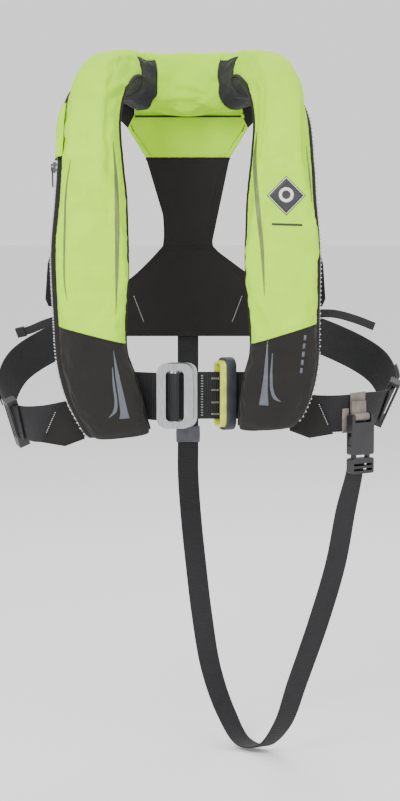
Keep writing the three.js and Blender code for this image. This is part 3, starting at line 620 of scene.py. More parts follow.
def grid_object(name, grid, material, closed=False, caps=False):
    """A surface through a grid of points, with cloth coordinates in metres."""
    rows, columns = len(grid), len(grid[0])
    points = [p for row in grid for p in row]
    faces = grid_faces(rows, columns, closed)
    if caps:
        faces.append(tuple(reversed(range(columns))))
        faces.append(tuple(range((rows - 1) * columns, rows * columns)))
    place = np.array([tuple(p) for p in points]).reshape(rows, columns, 3)
    across = np.linalg.norm(np.diff(place, axis=1), axis=2)
    along = np.linalg.norm(np.diff(place, axis=0), axis=2)
    u = np.concatenate([np.zeros((rows, 1)), across], 1).cumsum(1)
    v = np.concatenate([np.zeros((1, columns)), along], 0).cumsum(0)
    weave = np.stack([u.ravel(), v.ravel()], 1)
    return mesh_object(name, points, faces, material, weave=weave)


def shell(made, thickness):
    """Gives an open surface its thickness, inwards."""
    modifier = made.modifiers.new("thickness", "SOLIDIFY")
    modifier.thickness = thickness
    modifier.offset = -1
    modifier.use_even_offset = False
    apply_modifiers(made)
    return made


def apply_modifiers(made):
    bpy.context.view_layer.update()
    graph = bpy.context.evaluated_depsgraph_get()
    mesh = bpy.data.meshes.new_from_object(made.evaluated_get(graph))
    made.modifiers.clear()
    made.data = mesh


def tube(name, points, radius, material, sides=8):
    """A round piping along points."""
    grid = []
    up = Vector((0.31, 0.17, 0.94))
    angles = [2 * math.pi * k / sides for k in range(sides)]
    for i, point in enumerate(points):
        before = points[max(i - 1, 0)]
        after = points[min(i + 1, len(points) - 1)]
        along = (after - before).normalized()
        across = along.cross(up)
        if across.length < 0.1:
            across = along.cross(Vector((1, 0, 0)))
        across.normalize()
        up = across.cross(along).normalized()
        grid.append([point + (across * math.cos(a) + up * math.sin(a)) * radius for a in angles])
    return grid_object(name, grid, material, closed=True, caps=True)


def stacked_faces(first, rings, sides):
    """Faces of a closed stack of rings whose points start at number first."""
    faces = []
    for ring in range(rings - 1):
        for k in range(sides):
            a = first + ring * sides + k
            b = first + ring * sides + (k + 1) % sides
            faces.append((a, b, b + sides, a + sides))
    last = first + (rings - 1) * sides
    faces.append(tuple(first + k for k in range(sides - 1, -1, -1)))
    faces.append(tuple(last + k for k in range(sides)))
    return faces


def straight(start, end, count):
    """Points from start to end, evenly spaced."""
    return [Vector(start).lerp(Vector(end), i / count) for i in range(count + 1)]


def add_stitches(store, points, normals, pitch=STITCH, radius=STITCH_RADIUS, lift=0.00015):
    """Adds a row of raised stitches along points to store, a pair of lists (points, faces)."""
    lengths = np.concatenate([[0], np.cumsum([(b - a).length for a, b in zip(points, points[1:])])])
    coordinates = np.array([tuple(p) for p in points])
    directions = np.array([tuple(n) for n in normals])
    count = int(lengths[-1] / pitch)
    share = 0.62  # of the pitch
    sides = 6

    def along_row(values, at):
        return Vector([np.interp(at, lengths, values[:, k]) for k in range(3)])

    for i in range(count):
        start = (i + 0.5 - share / 2) * lengths[-1] / count
        ends = [along_row(coordinates, at) for at in (start, start + share * pitch)]
        normal = along_row(directions, start).normalized()
        along = (ends[1] - ends[0]).normalized()
        across = along.cross(normal).normalized()
        store[1].extend(stacked_faces(len(store[0]), 4, sides))
        for share_along, size in ((0, 0.35), (0.2, 1), (0.8, 1), (1, 0.35)):
            middle = ends[0].lerp(ends[1], share_along) + normal * lift * (1 if size == 1 else -1)
            for k in range(sides):
                angle = 2 * math.pi * k / sides
                offset = across * math.cos(angle) + normal * math.sin(angle)
                store[0].append(middle + offset * radius * size)


def front_stitches(store, points, **sizes):
    """Stitches on a face that looks to the front."""
    add_stitches(store, points, [Vector((0, -1, 0))] * len(points), **sizes)


def finish_piece(made, body=ROOT, replaces=()):
    """Puts a piece on its body and the CAD nodes it stands for."""
    if body:
        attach(made, body)
    if replaces:
        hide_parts(*replaces)
    return made


def finish_stitches(name, store, material):
    finish_piece(mesh_object(name, *store, material))


# ---- The stole's cloth ----
SIM_ROWS = 216
SIM_ANGLES = 60
SIM_CAP = 0.0045  # the furthest that a point may move
SIM_FRAMES = 20
PINNED_AT_ZIP = 21  # degrees each side of the zip
PINNED_AT_EDGE = 4  # degrees each side of the covers' inner edge
PINNED_AT_SEAM = 0.06  # rows each side of a cross seam
PINNED_AT_END = 0.4  # rows


def simulated_cloth():
    """The whole stole as one closed tube, blown up a little between its seams: how far each point
    moves outwards, as a grid over rows and angles."""
    marks = [2 * LAST_ROW * i / (SIM_ROWS - 1) for i in range(SIM_ROWS)]
    centres = np.array([tuple(CENTRE_LINE.point(m)) for m in marks])
    travelled = np.concatenate([[0], np.cumsum(np.linalg.norm(np.diff(centres, axis=0), axis=1))])
    rows = np.interp(np.linspace(0, travelled[-1], SIM_ROWS), travelled, marks)
    degrees = [ZIP_AT + 360 * j / SIM_ANGLES for j in range(SIM_ANGLES)]
    stations = [Station(row) for row in rows]
    rest = [[s.on(a, -0.0012) for a in degrees] for s in stations]
    outward = [[s.normal(a) for a in degrees] for s in stations]
    moved = np.zeros((SIM_ROWS, SIM_ANGLES))
    blank = bpy.data.materials.new("blank")
    cloth = grid_object("stole_cloth", rest, blank, closed=True, caps=True)
    seams = cloth.vertex_groups.new(name="seams")
    seam_rows = [COVER_START, COVER_END, PAD_END]
    seam_rows += [2 * LAST_ROW - row for row in seam_rows]
    for i, row in enumerate(rows):
        to_end = min(row, 2 * LAST_ROW - row)
        to_seam = min(abs(row - seam) for seam in seam_rows)
        held = to_seam < PINNED_AT_SEAM or to_end < PINNED_AT_END
        for j, angle in enumerate(degrees):
            from_zip = abs((angle - ZIP_AT + 180) % 360 - 180)
            if held or from_zip < PINNED_AT_ZIP or abs(angle - COVER_TO) < PINNED_AT_EDGE:
                seams.add([i * SIM_ANGLES + j], 1.0, "REPLACE")
    modifier = cloth.modifiers.new("Cloth", "CLOTH")
    settings = modifier.settings
    settings.quality = 4
    settings.mass = 0.25
    settings.tension_stiffness = 12
    settings.compression_stiffness = 12
    settings.shear_stiffness = 6
    settings.bending_stiffness = 0.4
    settings.vertex_group_mass = "seams"
    settings.shrink_min = -0.016
    settings.use_pressure = True
    settings.uniform_pressure_force = 3.5
    settings.effector_weights.gravity = 0
    modifier.collision_settings.use_collision = False
    for number in range(1, SIM_FRAMES + 1):
        bpy.context.scene.frame_set(number)
    graph = bpy.context.evaluated_depsgraph_get()
    result = cloth.evaluated_get(graph).data
    for i in range(SIM_ROWS):
        for j in range(SIM_ANGLES):
            shift = result.vertices[i * SIM_ANGLES + j].co - rest[i][j]
            moved[i, j] = max(-SIM_CAP, min(SIM_CAP, shift.dot(outward[i][j])))
    bpy.context.scene.frame_set(1)
    bpy.data.objects.remove(cloth)
    return rows, moved


SIM_MARKS, SIM_MOVED = simulated_cloth()

# Folds in the cloth seen from the front: ends as (x, z), half width, depth, and whether they are
# on the lobes or on the collar behind the neck.
FOLDS = [
    ((-0.066, 0.026), (-0.082, 0.018), 0.0045, 0.006, "lobe"),
    ((-0.082, 0.018), (-0.092, 0.004), 0.006, 0.003, "lobe"),
    ((-0.080, -0.004), (-0.098, -0.020), 0.007, 0.0022, "lobe"),
    ((0.074, 0.030), (0.082, 0.014), 0.006, 0.003, "lobe"),
    ((-0.145, -0.040), (-0.100, -0.034), 0.006, 0.0024, "lobe"),
    ((-0.140, -0.052), (-0.112, -0.068), 0.006, 0.0022, "lobe"),
    ((-0.079, -0.176), (-0.110, -0.190), 0.008, 0.0026, "lobe"),
    ((-0.079, -0.226), (-0.112, -0.212), 0.008, 0.0026, "lobe"),
    ((0.080, -0.114), (0.112, -0.130), 0.009, 0.0024, "lobe"),
    ((0.082, -0.150), (0.106, -0.158), 0.007, 0.0022, "lobe"),
    ((0.084, -0.218), (0.122, -0.236), 0.009, 0.0026, "lobe"),
    ((0.150, -0.128), (0.124, -0.142), 0.008, 0.0022, "lobe"),
    ((-0.030, 0.036), (0.012, 0.020), 0.007, 0.0050, "collar"),
    ((0.002, 0.012), (0.038, -0.008), 0.006, 0.0048, "collar"),
    ((-0.040, -0.002), (-0.010, 0.014), 0.007, 0.0044, "collar"),
    ((0.020, 0.044), (0.046, 0.030), 0.006, 0.0036, "collar"),
    ((-0.050, 0.024), (-0.034, 0.002), 0.005, 0.0034, "collar"),
]


def fold_depth(point, normal):
    """How far the folds press the cloth in at a point."""
    if normal.y > -0.15:
        return 0.0
    zone = "lobe" if point.y < -0.02 else "collar"
    total = 0.0
    for (x0, z0), (x1, z1), width, depth, where in FOLDS:
        if where != zone:
            continue
        run = Vector((x1 - x0, z1 - z0))
        offset = Vector((point.x - x0, point.z - z0))
        share = min(max(offset.dot(run) / run.length_squared, 0), 1)
        distance = (offset - run * share).length
        if distance < 3.5 * width:
            profile = distance / width
            pressed = math.exp(-profile * profile) - 0.35 * math.exp(-((profile - 1.9) ** 2))
            total += depth * pressed * (1 - 0.55 * abs(2 * share - 1))
    return total


def ripple(point, size, seed):
    """Smooth noise from -1 to 1, with waves about size long."""
    return noise.noise(point / size + Vector((seed, 2.3 * seed, 0.7 * seed)))


def cloth_shift(row, degrees, point, normal, edge_distance):
    """How far the cloth stands off its section: blown out by the simulation, rippled, folded and
    drawn in along its sewn edges."""
    column = ((degrees - ZIP_AT) % 360) / 360 * SIM_ANGLES
    j = int(column) % SIM_ANGLES
    share = column - int(column)
    values = [np.interp(row, SIM_MARKS, SIM_MOVED[:, k % SIM_ANGLES]) for k in (j, j + 1)]
    blown = values[0] * (1 - share) + values[1] * share
    calm = min(1.0, edge_distance / 0.012)
    rippled = (0.0010 * ripple(point, 0.034, 3) + 0.0005 * ripple(point, 0.013, 9)) * calm
    puckered = 0.00045 * ripple(point, 0.0055, 5) * math.exp(-((edge_distance / 0.007) ** 2))
    hem = -0.0010 * math.exp(-((edge_distance / 0.0016) ** 2))
    groove = -0.0006 * math.exp(-(((edge_distance - 0.0045) / 0.0011) ** 2))
    return blown + rippled + puckered + hem + groove - fold_depth(point, normal)


def real_rows(first, last, step):
    """Rows between two rows of the stole, a step apart in metres."""
    marks = np.linspace(first, last, 200)
    points = np.array([tuple(CENTRE_LINE.point(m)) for m in marks])
    travelled = np.concatenate([[0], np.cumsum(np.linalg.norm(np.diff(points, axis=0), axis=1))])
    count = max(4, int(travelled[-1] / step))
    return list(np.interp(np.linspace(0, travelled[-1], count + 1), travelled, marks))


def cloth_grid(first, last, low, high, step, turn):
    """The stole's surface between two rows and two angles."""
    rows = real_rows(first, last, step)
    columns = max(6, int((high - low) / turn))
    stations = [Station(row) for row in rows]
    run = [0.0]
    for a, b in zip(stations, stations[1:]):
        run.append(run[-1] + (b.at - a.at).length)
    grid = []
    for s, row, travelled in zip(stations, rows, run):
        line = []
        for angle in steps_between(low, high, columns):
            point = s.on(angle)
            normal = s.normal(angle)
            across = min(angle - low, high - angle) * math.radians(1) * 0.04
            distance = min(across, travelled, run[-1] - travelled)
            line.append(point + normal * cloth_shift(row, angle, point, normal, distance))
        grid.append(line)
    return grid


def cloth_panel(name, node, rows, angles, material, step=0.0022, turn=2.0):
    """One sewn panel of the stole between two rows and two angles."""
    made = grid_object(name, cloth_grid(*rows, *angles, step, turn), material)
    flip_outwards(made)
    shell(made, WALL * 0.8)
    finish_piece(made, replaces=[node])
    PANELS[node] = made


def flip_outwards(made):
    """Turns an open surface of the stole so that its faces look away from the stole's middle."""
    mesh = made.data
    middle = mesh.polygons[len(mesh.polygons) // 2]
    marks = steps_between(0, 2 * LAST_ROW, 112)
    nearest = min((CENTRE_LINE.point(m) for m in marks), key=lambda p: (p - middle.center).length)
    if middle.normal.dot(middle.center - nearest) < 0:
        mesh.flip_normals()


PANELS = {}  # the stole's cloth panels by the CAD node that each one replaces


def make_stole():
    """Covers, linings, pads and collar, each its own sewn panel."""
    front = (COVER_FROM, COVER_TO)
    behind = (COVER_TO, 360 + LINING_FROM)
    for side in ("left", "right"):
        def span(a, b, side=side):
            return (a, b) if side == "left" else (2 * LAST_ROW - b, 2 * LAST_ROW - a)

        shoulder = span(COVER_END, PAD_END)
        cloth_panel(f"{side}_lobe_lower", f"lower_cover_{side}", span(0, COVER_START), front, BLACK)
        cloth_panel(f"{side}_lobe_front", f"cover_{side}", span(COVER_START, COVER_END), front, LIME)
        cloth_panel(f"{side}_lobe_lining", f"lining_{side}", span(0, COVER_END), behind, BLACK,
                    0.004, 4.0)
        cloth_panel(f"{side}_shoulder", f"shoulder_panel_{side}", shoulder, (COVER_FROM, PAD_TO),
                    LIME)
        cloth_panel(f"{side}_neck_pad", f"neck_pad_{side}", shoulder, (PAD_TO, 360 + LINING_FROM),
                    NEOPRENE)
    cloth_panel("collar", "collar_cover", (PAD_END, 2 * LAST_ROW - PAD_END),
                (COVER_FROM, 360 + LINING_FROM), LIME)


def surface_path(points_at, lift=0.0):
    """Places and normals on the stole for a list of (row, degrees)."""
    places = []
    normals = []
    for row, degrees in points_at:
        s = Station(row)
        point = s.on(degrees)
        normal = s.normal(degrees)
        shift = cloth_shift(row, degrees, point, normal, 0.0045)
        places.append(point + normal * (shift + lift))
        normals.append(normal)
    return places, normals


def make_seams():
    """Piping and topstitching along the stole's seams."""
    lime = ([], [])
    black = ([], [])
    for side in ("left", "right"):
        def at(row, side=side):
            return row if side == "left" else 2 * LAST_ROW - row

        # Piping between the lime and the black covers, and down the lobe's inner edge
        ring = [(at(COVER_START), a) for a in steps_between(COVER_FROM, COVER_TO, 60)]
        places, _ = surface_path(ring, -0.0004)
        finish_piece(tube(f"{side}_cover_piping", places, 0.0011, BLACK))
        inner = [(at(row), COVER_TO - 2) for row in real_rows(0.1, COVER_END, 0.004)]
        places, _ = surface_path(inner, 0.0007)
        finish_piece(tube(f"{side}_neck_piping", places, 0.0019, BLACK))
        for row in (COVER_START + 0.12, COVER_END - 0.09, COVER_END + 0.09, PAD_END - 0.07):
            ring = [(at(row), a) for a in steps_between(COVER_FROM + 4, 148, 60)]
            add_stitches(lime, *surface_path(ring))
        for degrees in (COVER_FROM + 6, COVER_TO - 7):
            run = [(at(row), degrees) for row in real_rows(COVER_START + 0.1, COVER_END - 0.1, 0.004)]
            add_stitches(lime, *surface_path(run))
            run = [(at(row), degrees) for row in real_rows(0.3, COVER_START - 0.1, 0.004)]
            add_stitches(black, *surface_path(run))
        run = [(at(COVER_START - 0.1), a) for a in steps_between(COVER_FROM + 4, COVER_TO - 4, 60)]
        add_stitches(black, *surface_path(run))
        for row in (COVER_END + 0.09, PAD_END - 0.08):
            ring = [(at(row), a) for a in steps_between(PAD_TO + 6, 300, 60)]
            add_stitches(black, *surface_path(ring))
        top = [(at(row), PAD_TO + 5) for row in real_rows(COVER_END + 0.1, PAD_END - 0.1, 0.004)]
        add_stitches(black, *surface_path(top))
    for row in (PAD_END + 0.08, 2 * LAST_ROW - PAD_END - 0.08):
        ring = [(row, a) for a in steps_between(20, 320, 100)]
        add_stitches(lime, *surface_path(ring))
    finish_stitches("lime_topstitching", lime, THREAD_LIME)
    finish_stitches("black_topstitching", black, THREAD_BLACK)


def make_ends():
    """The closed lower ends of the lobes."""
    for side, row in (("left", 0.0), ("right", 2.0 * LAST_ROW)):
        way = 1 if side == "left" else -1
        grid = []
        for share in (1.0, 0.985, 0.93, 0.75, 0.5, 0.25, 0.02):
            s = Station(row + way * 0.02)
            bulge = 0.0026 * (1 - share**4)
            ring = []
            for k in range(48):
                u, v = s.section(7.5 * k, -WALL)
                ring.append(s.place(u * share, v * share) - s.along * way * bulge)
            grid.append(ring)
        end = grid_object(f"{side}_lobe_end", grid, BLACK, closed=True)
        if end.data.polygons[20].normal.dot(Station(row).along * -way) < 0:
            end.data.flip_normals()
        shell(end, 0.0012)
        finish_piece(end, replaces=[f"end_panel_{side}"])


def make_bladder():
    """The folded bladder inside the stole, clear of the folds in its covers, and narrower beside
    the inflator."""
    clear = 0.0105
    grid = []
    for row in real_rows(2.3, 2 * LAST_ROW - 2.3, 0.006):
        s = Station(row)
        share = min(max(0.44 + (s.at.z + 0.140) / 0.090, 0.44), 1)
        wall = (s.width / 2 - clear - 0.001) * (2 * share - 1)
        ring = []
        for k in range(36):
            u, v = s.section(10 * k, -clear)
            ring.append(s.place(min(u, wall), v * (1 - 0.05 * (k % 2))))
        grid.append(ring)
    made = grid_object("folded_bladder", grid, BLADDER, closed=True, caps=True)
    finish_piece(made, replaces=["bladder"])


# ---- The zip ----
def zip_grid(from_angle, from_grow, to_angle, to_grow):
    """A slightly hollow band along the whole zip, between two angles and heights."""
    columns = 4
    grid = []
    for row in real_rows(0.05, 2 * LAST_ROW - 0.05, 0.004):
        s = Station(row)
        near = s.on(from_angle, from_grow)
        far = s.on(to_angle, to_grow)
        bow = (s.on(ZIP_AT, 0.002) - s.on(ZIP_AT)).normalized()
        line = []
        for share in steps_between(0, 1, columns):
            line.append(near.lerp(far, share) - bow * 0.0004 * math.sin(math.pi * share))
        grid.append(line)
    return grid


def blend_pairs(pairs, place):
    """The pair at a fractional place in a list of pairs."""
    first = min(int(place), len(pairs) - 2)
    share = place - first
    return [a + (b - a) * share for a, b in zip(pairs[first], pairs[first + 1])]


def make_zip():
    """The zip's two tapes and the band that its teeth sit on."""
    tape_out = CHAIN_OUT + 0.0004
    sewn_in = -0.0026
    front = zip_grid(COVER_FROM + 2.5, sewn_in, CHAIN_AT + 4.6, tape_out)
    back = zip_grid(CHAIN_AT - 4.6, tape_out, LINING_FROM - 2.5, sewn_in)
    core = zip_grid(CHAIN_AT + 3.8, CHAIN_OUT, CHAIN_AT - 3.8, CHAIN_OUT)
    for name, node, grid, material, thickness in (
        ("zip_tape_front", "zip_tape_cover_side", front, BLACK, 0.0009),
        ("zip_tape_back", "zip_tape_lining_side", back, BLACK, 0.0009),
        ("zip_core", "zip_chain", core, WEBBING, 0.0016),
    ):
        made = grid_object(name, grid, material)
        flip_outwards(made)
        shell(made, thickness)
        finish_piece(made, replaces=[node])


def make_teeth():
    """Teeth set left and right of the zip's middle by turns."""
    points = []
    faces = []
    for i, row in enumerate(real_rows(0.05, 2 * LAST_ROW - 0.05, TOOTH_PITCH)):
        s = Station(row)
        out = (s.on(CHAIN_AT, 0.004) - s.on(CHAIN_AT)).normalized()
        across = (s.on(CHAIN_AT + 4, CHAIN_OUT) - s.on(CHAIN_AT - 4, CHAIN_OUT)).normalized()
        side = 1 if i % 2 else -1
        middle = s.on(CHAIN_AT, CHAIN_OUT + 0.0007) + across * side * 0.0012
        faces += stacked_faces(len(points), 3, 4)
        for height, size in ((-0.0006, 1.0), (0.0011, 1.0), (0.0017, 0.7)):
            for a, b in ((-1, -1), (1, -1), (1, 1), (-1, 1)):
                corner = across * a * TOOTH_HALF[0] + s.along * b * TOOTH_HALF[1]
                points.append(middle + corner * size + out * height)
    finish_piece(mesh_object("zip_teeth", points, faces, TEETH, smooth=False))


def make_zip_garage():
    """The lime flap over the zip's upper end, flat on the cover at its top and over the teeth at
    its bottom."""
    edge = [
        (17, 0.0004), (13, 0.0019), (9, 0.0042), (4, 0.0070), (-4, 0.0083), (-12, 0.0092),
        (-18, 0.0083), (-24, 0.0070),
    ]
    rows = real_rows(2 * LAST_ROW - 8.5, 2 * LAST_ROW - 7.02, 0.002)
    grid = []
    for i, row in enumerate(rows):
        s = Station(row)
        line = []
        reach = 0.30 + 0.70 * smoothstep(i / (len(rows) - 1), 0.0, 0.75)
        for k in range(len(edge)):
            angle, grow = blend_pairs(edge, reach * k)
            point = s.on(angle, grow + 0.0012)
            normal = (s.on(angle, 0.004) - s.on(angle)).normalized()
            line.append(point + normal * 0.0006 * ripple(point, 0.012, 4))
        grid.append(line)
    flap = grid_object("zip_garage", grid, LIME)
    flip_outwards(flap)
    shell(flap, 0.0011)
    finish_piece(flap, replaces=["zip_flap"])
    lines = ([], [])
    middle = Station(20.2).at
    for k in (1, 6):
        places = [line[k] for line in grid]
        add_stitches(lines, places, [(p - middle).normalized() for p in places], lift=0.0003)
    finish_stitches("zip_garage_stitching", lines, THREAD_LIME)


# ---- Ribbed webbing ----
# Half of a webbing's section: places from its middle to its selvedge, and its thickness there
HALF_WEBBING = [(0.5, 1), (0.94, 1), (0.985, 0.8), (1, 0.35)]
WEBBING_SECTION = [(-place, full) for place, full in reversed(HALF_WEBBING)] + [(0, 1)] + HALF_WEBBING


def ribbon(name, track, rows, across, off, material, pitch=0.0022, rib=0.0004, samples=5):
    """Webbing between two rows of a track, between two places across it and two off it, with
    crosswise ribs on both faces and rounded selvedges."""
    start, end = sorted(track.length_at(row) for row in rows)
    count = max(6, int((end - start) / pitch * samples))
    middle = sum(off) / 2
    half = (off[1] - off[0]) / 2
    centre = sum(across) / 2
    width = (across[1] - across[0]) / 2
    grid = []
    for length in steps_between(start, end, count):
        at, _, edge, out = track.frame(track.row_at(length))
        height = rib * (0.5 + 0.5 * math.cos(2 * math.pi * length / pitch))
        line = []
        for way in (1, -1):
            for share, full in WEBBING_SECTION[::way]:
                inset = height if full == 1 else 0.0
                away = middle + way * (half * full - inset)
                line.append(at + edge * (centre + share * width) + out * away)
        grid.append(line)
    return grid_object(name, grid, material, closed=True, caps=True)


def ribbon_stitches(store, track, first, last, across, off):
    """A row of stitches along a webbing, at a place across it and off it."""
    places = []
    normals = []
    for length in steps_between(track.length_at(first), track.length_at(last), 40):
        at, _, edge, out = track.frame(track.row_at(length))
        places.append(at + edge * across + out * off)
        normals.append(out if off > 0 else -out)
    add_stitches(store, places, normals)


def cross_stitches(store, track, row, half, off):
    """A row of stitches across a webbing."""
    at, _, edge, out = track.frame(row)
    places = straight(at + out * off - edge * half, at + out * off + edge * half, 10)
    add_stitches(store, places, [out if off > 0 else -out] * 11, pitch=0.0028, radius=0.0004)


WHOLE_BELT = Track(BELT_LINE["left"] + BELT_LINE["right"][::-1], 1200)
BELT_ROWS = WHOLE_BELT.last
FACE = BELT_THICKNESS / 2
BACK_NEAR = FACE + 0.0009
BACK_FAR = BACK_NEAR + BELT_THICKNESS


def belt_row(side, row):
    """A side's own row, counted from its front end, as a row of the whole belt."""
    return row if side == "left" else BELT_ROWS - row


def make_belts():
    """The hip webbings with their grey tabs, and the back belt over their ends."""
    across = (-BELT_WIDTH / 2, BELT_WIDTH / 2)
    grey = ([], [])
    for side in ("left", "right"):
        row = ADJUSTER_ROW[side]
        rows = (belt_row(side, 0), belt_row(side, row + LAP))
        hip = ribbon(f"{side}_hip_webbing", WHOLE_BELT, rows, across, (-FACE, FACE), WEBBING)
        finish_piece(hip, replaces=[f"hip_belt_{side}"])
        tab = row + HIP_TAB_ROWS[side]
        low = BELT_WIDTH / 2 - 0.014
        near = BACK_FAR + 0.0009
        rows = (belt_row(side, tab - 0.25), belt_row(side, tab + 0.25))
        piece = ribbon(f"{side}_hip_tab", WHOLE_BELT, rows, (low, low + 0.016),
                       (near, near + 0.0016), GREY_WEBBING, rib=0.0001)
        finish_piece(piece, replaces=[f"hip_tab_{side}"])
        ribbon_stitches(grey, WHOLE_BELT, belt_row(side, tab - 0.22), belt_row(side, tab + 0.22),
                        low + 0.002, near + 0.0016)
    rows = (ADJUSTER_ROW["left"] - LAP, BELT_ROWS - ADJUSTER_ROW["right"] + LAP)
    back = ribbon("back_webbing", WHOLE_BELT, rows, across, (BACK_NEAR, BACK_FAR), WEBBING)
    finish_piece(back, replaces=["back_belt"])
    make_pull_tails(grey)
    finish_stitches("belt_grey_stitching", grey, THREAD_GREY)


def make_pull_tails(grey):
    """The narrow tails beside the lobes, with stitches that are also added to grey. The right one
    ends in a folded stop."""
    half = 0.0008
    dark = ([], [])
    for side in ("left", "right"):
        track = Track(TAIL_LINE[side])
        tail = ribbon(f"{side}_pull_tail", track, (0, 4), (-0.005, 0.005), (-half, half), WEBBING,
                      pitch=0.0016, rib=0.00015)
        finish_piece(tail, replaces=[f"pull_tail_{side}"])
        seen = -half if side == "left" else half
        cross_stitches(grey, track, 3.4, 0.004, seen)
        ribbon_stitches(dark, track, 0.2, 3.9, 0.0036, seen)
    fold = ribbon("right_tail_fold", track, (3.35, 4), (-0.0062, 0.0062), (-0.0022, 0.0022),
                  WEBBING, pitch=0.0016, rib=0.00015)
    finish_piece(fold)
    finish_stitches("belt_black_stitching", dark, THREAD_BLACK)


def make_crotch_strap():
    """The crotch strap's webbing and its keeper."""
    track = Track(STRAP_LINE, 1200)
    half = STRAP_WIDTH / 2
    thick = STRAP_THICKNESS / 2
    strap = ribbon("crotch_webbing", track, (0, track.last), (-half, half), (-thick, thick),
                   WEBBING, pitch=0.0029, rib=0.00045, samples=6)
    finish_piece(strap, body=None, replaces=["crotch_strap"])
    lengths = steps_between(0, track.lengths[-1], 300)
    path = [tuple(track.places.point(track.row_at(length))) for length in lengths]
    sleeve = sewn_sleeve()
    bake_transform(strap)


def sewn_sleeve():
    """The grey elastic keeper round the crotch strap."""
    low, high = (Vector(corner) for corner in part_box("strap_sleeve"))
    middle = (low + high) / 2
    half = (high - low) / 2
    angles = [2 * math.pi * k / 48 for k in range(48)]
    grid = []
    for share, grow in ((0, -0.0006), (0.03, 0), (0.5, 0.0003), (0.97, 0), (1, -0.0006)):
        ring = []
        for angle in angles:
            x = math.copysign(abs(math.cos(angle)) ** 0.2, math.cos(angle)) * (half.x + grow)
            y = math.copysign(abs(math.sin(angle)) ** 0.5, math.sin(angle)) * (half.y + grow)
            ring.append(Vector((middle.x + x, middle.y + y, low.z + 2 * half.z * share)))
        grid.append(ring)
    sleeve = grid_object("strap_keeper", grid, GREY_WEBBING, closed=True)
    face = sleeve.data.polygons[60]
    if face.normal.dot(face.center - middle) < 0:
        sleeve.data.flip_normals()
    shell(sleeve, 0.0011)
    return finish_piece(sleeve, replaces=["strap_sleeve"])


# ---- Flat panels: yoke, gussets and flaps ----
def panel_mesh(outline, size=0.004):
    """A dense flat mesh of triangles inside an outline of (x, z)."""
    work = bmesh.new()
    work.faces.new([work.verts.new((x, 0, z)) for x, z in outline])
    bmesh.ops.triangulate(work, faces=work.faces[:])
    for _ in range(7):
        long_edges = [e for e in work.edges if e.calc_length() > size * 1.5]
        if not long_edges:
            break
        bmesh.ops.subdivide_edges(work, edges=long_edges, cuts=1)
        bmesh.ops.triangulate(work, faces=work.faces[:])
    return work


def hem_distance(place, outline):
    """How far a point is from an outline of (x, z)."""
    point = Vector((place.x, place.z))
    loop = [Vector(corner) for corner in outline]
    best = 1.0
    for a, b in zip(loop, loop[1:] + loop[:1]):
        run = b - a
        share = min(max((point - a).dot(run) / run.length_squared, 0), 1)
        best = min(best, (point - a - run * share).length)
    return best


def two_sided_faces(work):
    """Faces of a flat mesh, of its copy behind it, and of the rim that joins them."""
    index = {v: i for i, v in enumerate(work.verts)}
    count = len(index)
    rings = {}
    for face in work.faces:
        ring = [index[v] for v in face.verts]
        if face.normal.y > 0:
            ring.reverse()
        rings[face] = ring
    faces = []
    for ring in rings.values():
        faces.append(tuple(ring))
        faces.append(tuple(i + count for i in reversed(ring)))
    for edge in work.edges:
        if len(edge.link_faces) == 1:
            a, b = (index[v] for v in edge.verts)
            ring = rings[edge.link_faces[0]]
            follows = ring[(ring.index(a) + 1) % len(ring)] == b
            a, b = (a, b) if follows else (b, a)
            faces.append((b, a, a + count, b + count))
    return faces


def flat_panel(name, node, outline, faces_at, material, wave=0.0008, seed=1):
    """A sewn panel standing upright between two places in y, puckered at its hem."""
    work = panel_mesh(outline)
    front, back = faces_at
    middle = (front + back) / 2
    half = (back - front) / 2
    distances = [hem_distance(v.co, outline) for v in work.verts]
    points = []
    for way in (-1, 1):
        for v, distance in zip(work.verts, distances):
            soft = wave * ripple(v.co, 0.03, seed) * min(1, distance / 0.008)
            pucker = 0.0003 * ripple(v.co, 0.006, seed + 3) * math.exp(-((distance / 0.006) ** 2))
            round_off = half * 0.45 * math.exp(-((distance / 0.0012) ** 2))
            groove = 0.0003 * math.exp(-(((distance - 0.004) / 0.001) ** 2))
            y = middle + way * (half - round_off - groove) + soft + pucker
            points.append(Vector((v.co.x, y, v.co.z)))
    faces = two_sided_faces(work)
    work.free()
    weave = [(p.x, p.z) for p in points]
    made = mesh_object(name, points, faces, material, weave=weave)
    finish_piece(made, replaces=[node])


def rounded(outline):
    """An outline with smooth curves between its points."""
    line = Line([(x, 0, z) for x, z in outline])
    return [(p.x, p.z) for p in (line.point(i / 6) for i in range(6 * line.last + 1))]


def mirrored(half):
    """A whole outline from its half at positive x."""
    return half + [(-x, z) for x, z in reversed(half)]


def hem_stitches(store, outline, y, inset=0.004):
    """Stitches round a flat panel, inside its hem, on its front."""
    centre = Vector((sum(p[0] for p in outline), sum(p[1] for p in outline))) / len(outline)
    loop = [Vector(p) for p in outline]
    places = []
    for a, b, c in zip(loop[-1:] + loop[:-1], loop, loop[1:] + loop[:1]):
        along = (c - a).normalized()
        inward = Vector((-along.y, along.x))
        if inward.dot(centre - b) < 0:
            inward = -inward
        place = b + inward * inset
        places.append(Vector((place.x, y, place.y)))
    front_stitches(store, places + places[:1])


